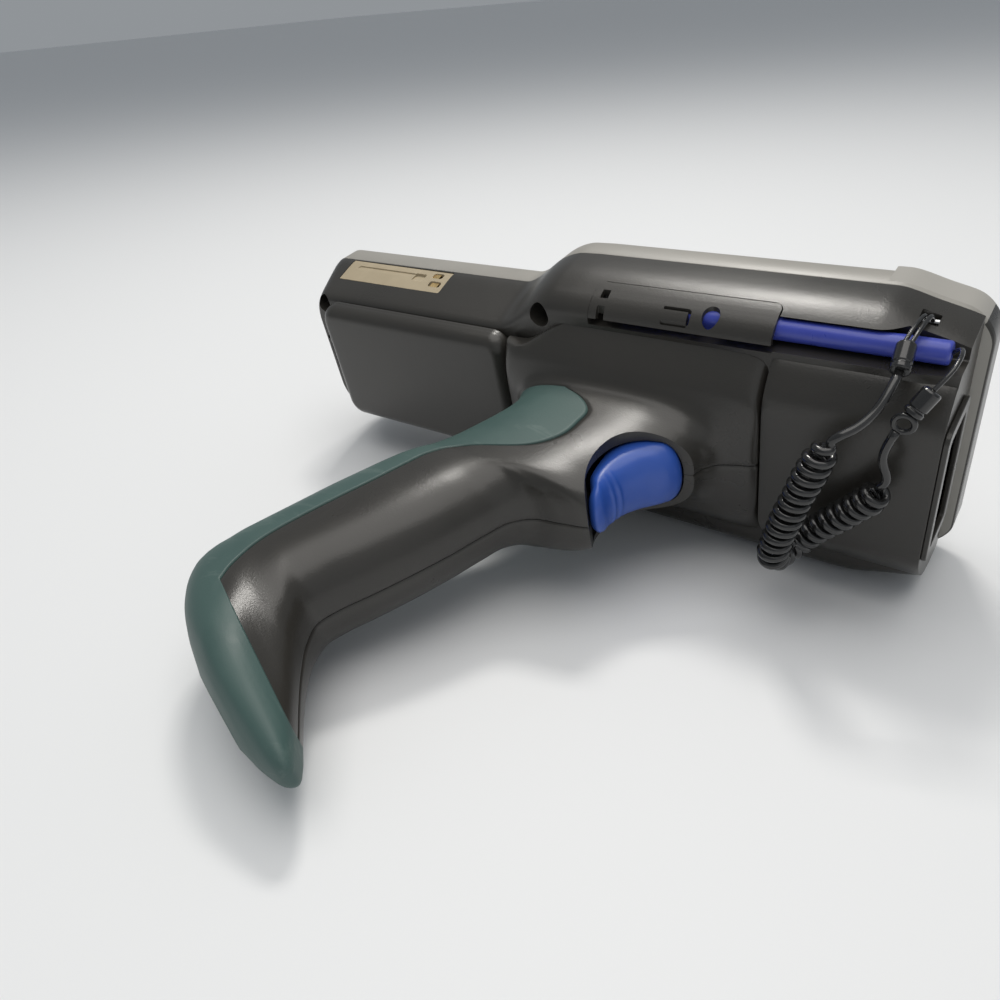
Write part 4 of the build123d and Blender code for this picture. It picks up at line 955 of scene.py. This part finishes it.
# stylus and tether
# stations are x and radius along the stylus
stylusSet = {"y": -17.0, "z": 36.5, "edge": 0.15,
             "barrel": [(136.9, 1.5), (139.4, 1.6), (139.5, 2.4), (140.1, 2.9), (141, 3.0), (186, 3.0), (227.5, 3.0),
                        (228.0, 2.9), (228.3, 2.6), (228.4, 2.2)],
             "tip": [(134.05, 0.35), (134.2, 0.6), (135.5, 1.0), (137.2, 1.6), (138.6, 1.85), (138.95, 1.8)]}


def revolved(stations, around=40):
    # closed rings round the stylus's axis along x, from (x, radius) stations
    y, z, stations = stylusSet["y"], stylusSet["z"], np.asarray(stations, float)
    angle = np.linspace(0, 2 * np.pi, around, endpoint=False)
    rings = np.zeros((len(stations), around, 3))
    rings[..., 0] = stations[:, :1]
    rings[..., 1] = y + stations[:, 1:] * np.cos(angle)
    rings[..., 2] = z + stations[:, 1:] * np.sin(angle)
    return cappedTube(rings)


def makeStylus():
    piece = newPiece("stylus", *revolved(stylusSet["barrel"]), "stylus", stylusBlue)
    softEdges(piece, stylusSet["edge"], 2)
    standsFor(piece, "stylus_plastic", "stylus")
    piece = newPiece("stylusTip", *revolved(stylusSet["tip"], 28), "stylus", tipBlack)
    standsFor(piece, "tip_plastic", "stylus_tip")


makeStylus()


def cordPiece(name, points, radius, material):
    # open spline through the route's points, with a round section
    curve = bpy.data.curves.new(name, "CURVE")
    curve.dimensions = "3D"
    curve.bevel_depth = radius / 1000
    curve.bevel_resolution = 4
    curve.resolution_u = 4
    spline = curve.splines.new("NURBS")
    placed = lay(points)
    spline.points.add(len(placed) - 1)
    spline.points.foreach_set("co", np.concatenate([placed, np.ones((len(placed), 1))], 1).ravel())
    spline.order_u = 3
    spline.use_endpoint_u = True
    piece = bpy.data.objects.new(name, curve)
    bpy.context.scene.collection.objects.link(piece)
    if material:
        curve.materials.append(material)
    return piece


def readLine(points, count):
    # evenly spaced device points read from the smooth spline through the route
    probe = cordPiece("probe", points, 0, None)
    line = bpy.data.meshes.new_from_object(probe)
    found = np.zeros(len(line.vertices) * 3)
    line.vertices.foreach_get("co", found)
    found = (found.reshape(-1, 3) - moved) @ turn * 1000
    bpy.data.objects.remove(probe)
    bpy.data.meshes.remove(line)
    return evenly(found, count)


# the tether's line from the first ferrule, down both legs of the coil and up to the eyelet
leadRoute = [(220.0, -30.2, 37.4), (219.6, -34.8, 35.0), (217.8, -39.2, 31.0),
             (215.0, -43.2, 28.6), (212.2, -45.6, 27.6), (210.3, -46.3, 25.8)]
coilRoute = [(209.6, -46.4, 24.6), (204.2, -48.0, 8.6), (200.2, -49.2, -5.4), (198.2, -48.6, -16.4),
             (200.8, -37.6, -18.0), (207.4, -36.8, -9.6), (214.4, -36.0, -2.6), (221.6, -36.3, 6.5)]
secondLead = [(222.0, -36.5, 9.6), (222.0, -36.6, 12.0), (220.4, -37.2, 16.4), (220.8, -37.0, 21.0),
              (222.6, -36.8, 25.8)]
coilSet = {"turns": 27, "radius": 3.3, "wire": 1.15, "perTurn": 14, "closing": 22, "uneven": 0.03, "wave": 37}
# where the tether's mesh is parted, and a start for its second leg, as shares of the coil
stretchSet = {"parted": 0.60, "from": 0.66, "lengths": (0.34, 0.23)}


def helix(route):
    # turns round the route: two directions across it are carried along without twist,
    # and the wire goes round by their cosine and sine
    count = coilSet["turns"] * coilSet["perTurn"] + 1
    line = readLine(route, count)
    ahead = np.gradient(line, axis=0)
    ahead /= np.linalg.norm(ahead, axis=1)[:, None]
    side = np.cross(ahead, (0, 1.0, 0))
    side /= np.linalg.norm(side, axis=1)[:, None]
    other = np.cross(ahead, side)
    turnAngle = 2 * np.pi * np.arange(count)[:, None] / coilSet["perTurn"]
    t = np.linspace(0, 1, count)[:, None]
    # both ends close down to the straight leads, and the turns differ a little in size
    closing = 0.5 + 0.5 * smoothStep(np.minimum(t, 1 - t) * coilSet["closing"])
    radius = coilSet["radius"] * closing * (1 - coilSet["uneven"] * (1 + np.sin(t * coilSet["wave"])))
    return line + radius * (np.cos(turnAngle) * side + np.sin(turnAngle) * other)


def tubeRings(points):
    # the cord's surface, as device rings along its own smooth spline
    curve = cordPiece("tetherCurve", points, coilSet["wire"], None)
    mesh = bpy.data.meshes.new_from_object(curve)
    found = np.zeros(len(mesh.vertices) * 3)
    mesh.vertices.foreach_get("co", found)
    around = 4 + 2 * curve.data.bevel_resolution
    bpy.data.objects.remove(curve)
    bpy.data.meshes.remove(mesh)
    return ((found.reshape(-1, 3) - moved) @ turn * 1000).reshape(-1, around, 3)


def makeTether():
    points = np.concatenate([leadRoute, helix(coilRoute), secondLead])
    rings = tubeRings(points)
    # parted behind the fold: the first stretch goes on the collector, the second leg is a piece of its own
    coil = coilSet["turns"] * coilSet["perTurn"]
    parted = int(len(rings) * (len(leadRoute) + coil * stretchSet["parted"]) / len(points))
    tether = newPiece("tether", *cappedTube(rings[:parted + 1]), "collector", cordBlack)
    leg = newPiece("tetherSecondLeg", *cappedTube(rings[parted:]), None, cordBlack)
    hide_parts("tether_lead_anchor", "tether_coil", "tether_lead_stylus")
    line = readLine(coilRoute, coil + 1)
    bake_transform(leg)


def barAlong(start, end, stations, around=28):
    # closed rings of given radii between two points
    start, end = np.array(start, float), np.array(end, float)
    stations = np.asarray(stations, float)
    axis = end - start
    side = np.cross(axis, (0, 0, 1.0))
    side /= np.linalg.norm(side)
    other = np.cross(axis / np.linalg.norm(axis), side)
    angle = np.linspace(0, 2 * np.pi, around, endpoint=False)[:, None]
    ring = np.cos(angle) * side + np.sin(angle) * other
    return cappedTube((start + axis * stations[:, :1])[:, None] + ring[None] * stations[:, 1:, None])


# share of the length and radius along a moulded sleeve with a collar at the cord's end
sleeveRows = [(0.0, 1.5), (0.03, 2.1), (0.09, 2.4), (0.7, 2.45), (0.73, 2.15), (0.78, 2.1), (0.82, 2.5), (0.94, 2.5),
              (0.98, 2.2), (1.0, 1.4)]
ferrules = {"ferruleAnchor": ((219.3, -22.6, 40.6), (220.0, -30.2, 37.4), "collector", "tether_ferrule_anchor"),
            "ferruleStylus": ((228.3, -32.8, 35.8), (225.0, -35.9, 30.3), "stylus", "tether_ferrule_stylus")}


def makeFerrules():
    for name, (start, end, body, node) in ferrules.items():
        piece = newPiece(name, *barAlong(start, end, sleeveRows), body, cordBlack)
        softEdges(piece, 0.12, 2, 30)
        standsFor(piece, "cord_black", node)


makeFerrules()
makeTether()
print("tether done")

# plate, keys and small parts
# the recess, two windows over the contact pads and the shallow groove
plateSet = {"x": (12.7, 62.3, 40), "y": (-11.1, -0.7, 16), "side": 30.35, "lifts": (-0.05, -1.2), "edge": 0.2,
            "cuts": [((46.4, -6.9, 28.9), (51.6, -3.2, 40), 0.6, 2), ((54.6, -4.5, 20), (59.2, -1.9, 40), 0.9, 2),
                     ((55.2, -8.6, 20), (60.6, -6.0, 40), 0.9, 2), ((17.5, -6.0, 29.45), (46.8, -3.4, 40), 1.0, 2)]}


def makePlate():
    # follows the keypad's side between two depths
    x, y = np.linspace(*plateSet["x"]), np.linspace(*plateSet["y"])
    side = rounded(bodySet["keypadSide"], 40)
    z = plateSet["side"] - np.interp(-y, side[:, 0], side[:, 1])
    skins = [np.stack(np.broadcast_arrays(x[:, None], y, z + lift), -1) for lift in plateSet["lifts"]]
    ring = np.concatenate([skins[0], skins[1][:, ::-1]], 1)
    plate = newPiece("contactPlate", *cappedTube(ring), "collector", plateTan)
    cut(plate, boxCuts(*plateSet["cuts"]))
    softEdges(plate, plateSet["edge"], 2)
    standsFor(plate, "plated_plate", "contact_plate")


# height, how far in from the key's sides, and corner radius
capRows = [(6.95, 0.0, 1.4), (10.6, 0.12, 1.5), (11.35, 0.3, 1.6), (11.75, 0.75, 1.7), (11.88, 1.4, 1.5),
           (11.8, 2.1, 1.2), (11.66, 2.9, 0.7)]


def keyCap(name, places, node, material, slot):
    # dished caps with rounded plan corners: rings up the side, then rings across the top
    points, faces = [], []
    for x, z, a, b in places:
        rings = []
        for y, inset, r in capRows:
            corner = min(r, a - inset - 0.05, b - inset - 0.05)
            flat, _ = roundedBox((x - a + inset, 0, z - b + inset), (x + a - inset, 1, z + b - inset), corner, 1)
            ring = flat[:len(flat) // 2].copy()
            ring[:, 1] = y
            rings.append(ring)
        found, sides = cappedTube(np.stack(rings))
        before = sum(len(p) for p in points)
        faces += [[k + before for k in f] for f in sides]
        points.append(found)
    cap = newPiece(name, np.concatenate(points), faces, node, material)
    softEdges(cap, 0.1, 1, 50)
    standsFor(cap, slot, node)


def makeKeys():
    for row in range(keySet["rows"]):
        keyCap(f"keysRow{row + 1}", keyRow(row), f"keys_row_{row + 1}", keyRubber, "key_rubber")
    for node, place in largeKeys.items():
        name = node.replace("_key", "Key")
        if node == "scan_key":
            keyCap(name, [place], node, keyBlue, "scan_key_rubber")
        else:
            keyCap(name, [place], node, keyRubber, "key_rubber")


makePlate()
makeKeys()
print("keys done")

# light: place, aim, size, power and colour of each lamp, then the sky
lampSet = {"keyLight": ((-0.25, 0.5, 1.0), (0, 0, 0.03), (0.26, 0.16), 4.5, (1.0, 0.97, 0.92)),
           "ceilingLight": ((0.1, -0.1, 1.5), (0, 0, 0), (1.5, 1.5), 14, (1.0, 0.97, 0.93)),
           "fillLight": ((0.9, -0.7, 0.7), (0, 0, 0.03), (1.4, 1.4), 1.5, (1, 1, 1))}
skySet = {"Color": (0.8, 0.85, 0.9, 1), "Strength": 0.35}
for name, values in lampSet.items():
    makeLight(name, *values)
world = bpy.data.worlds.new("studio")
bpy.context.scene.world = world
world.use_nodes = True
for label, value in skySet.items():
    world.node_tree.nodes["Background"].inputs[label].default_value = value
bpy.context.scene.view_settings.view_transform = "Standard"
print("light done")
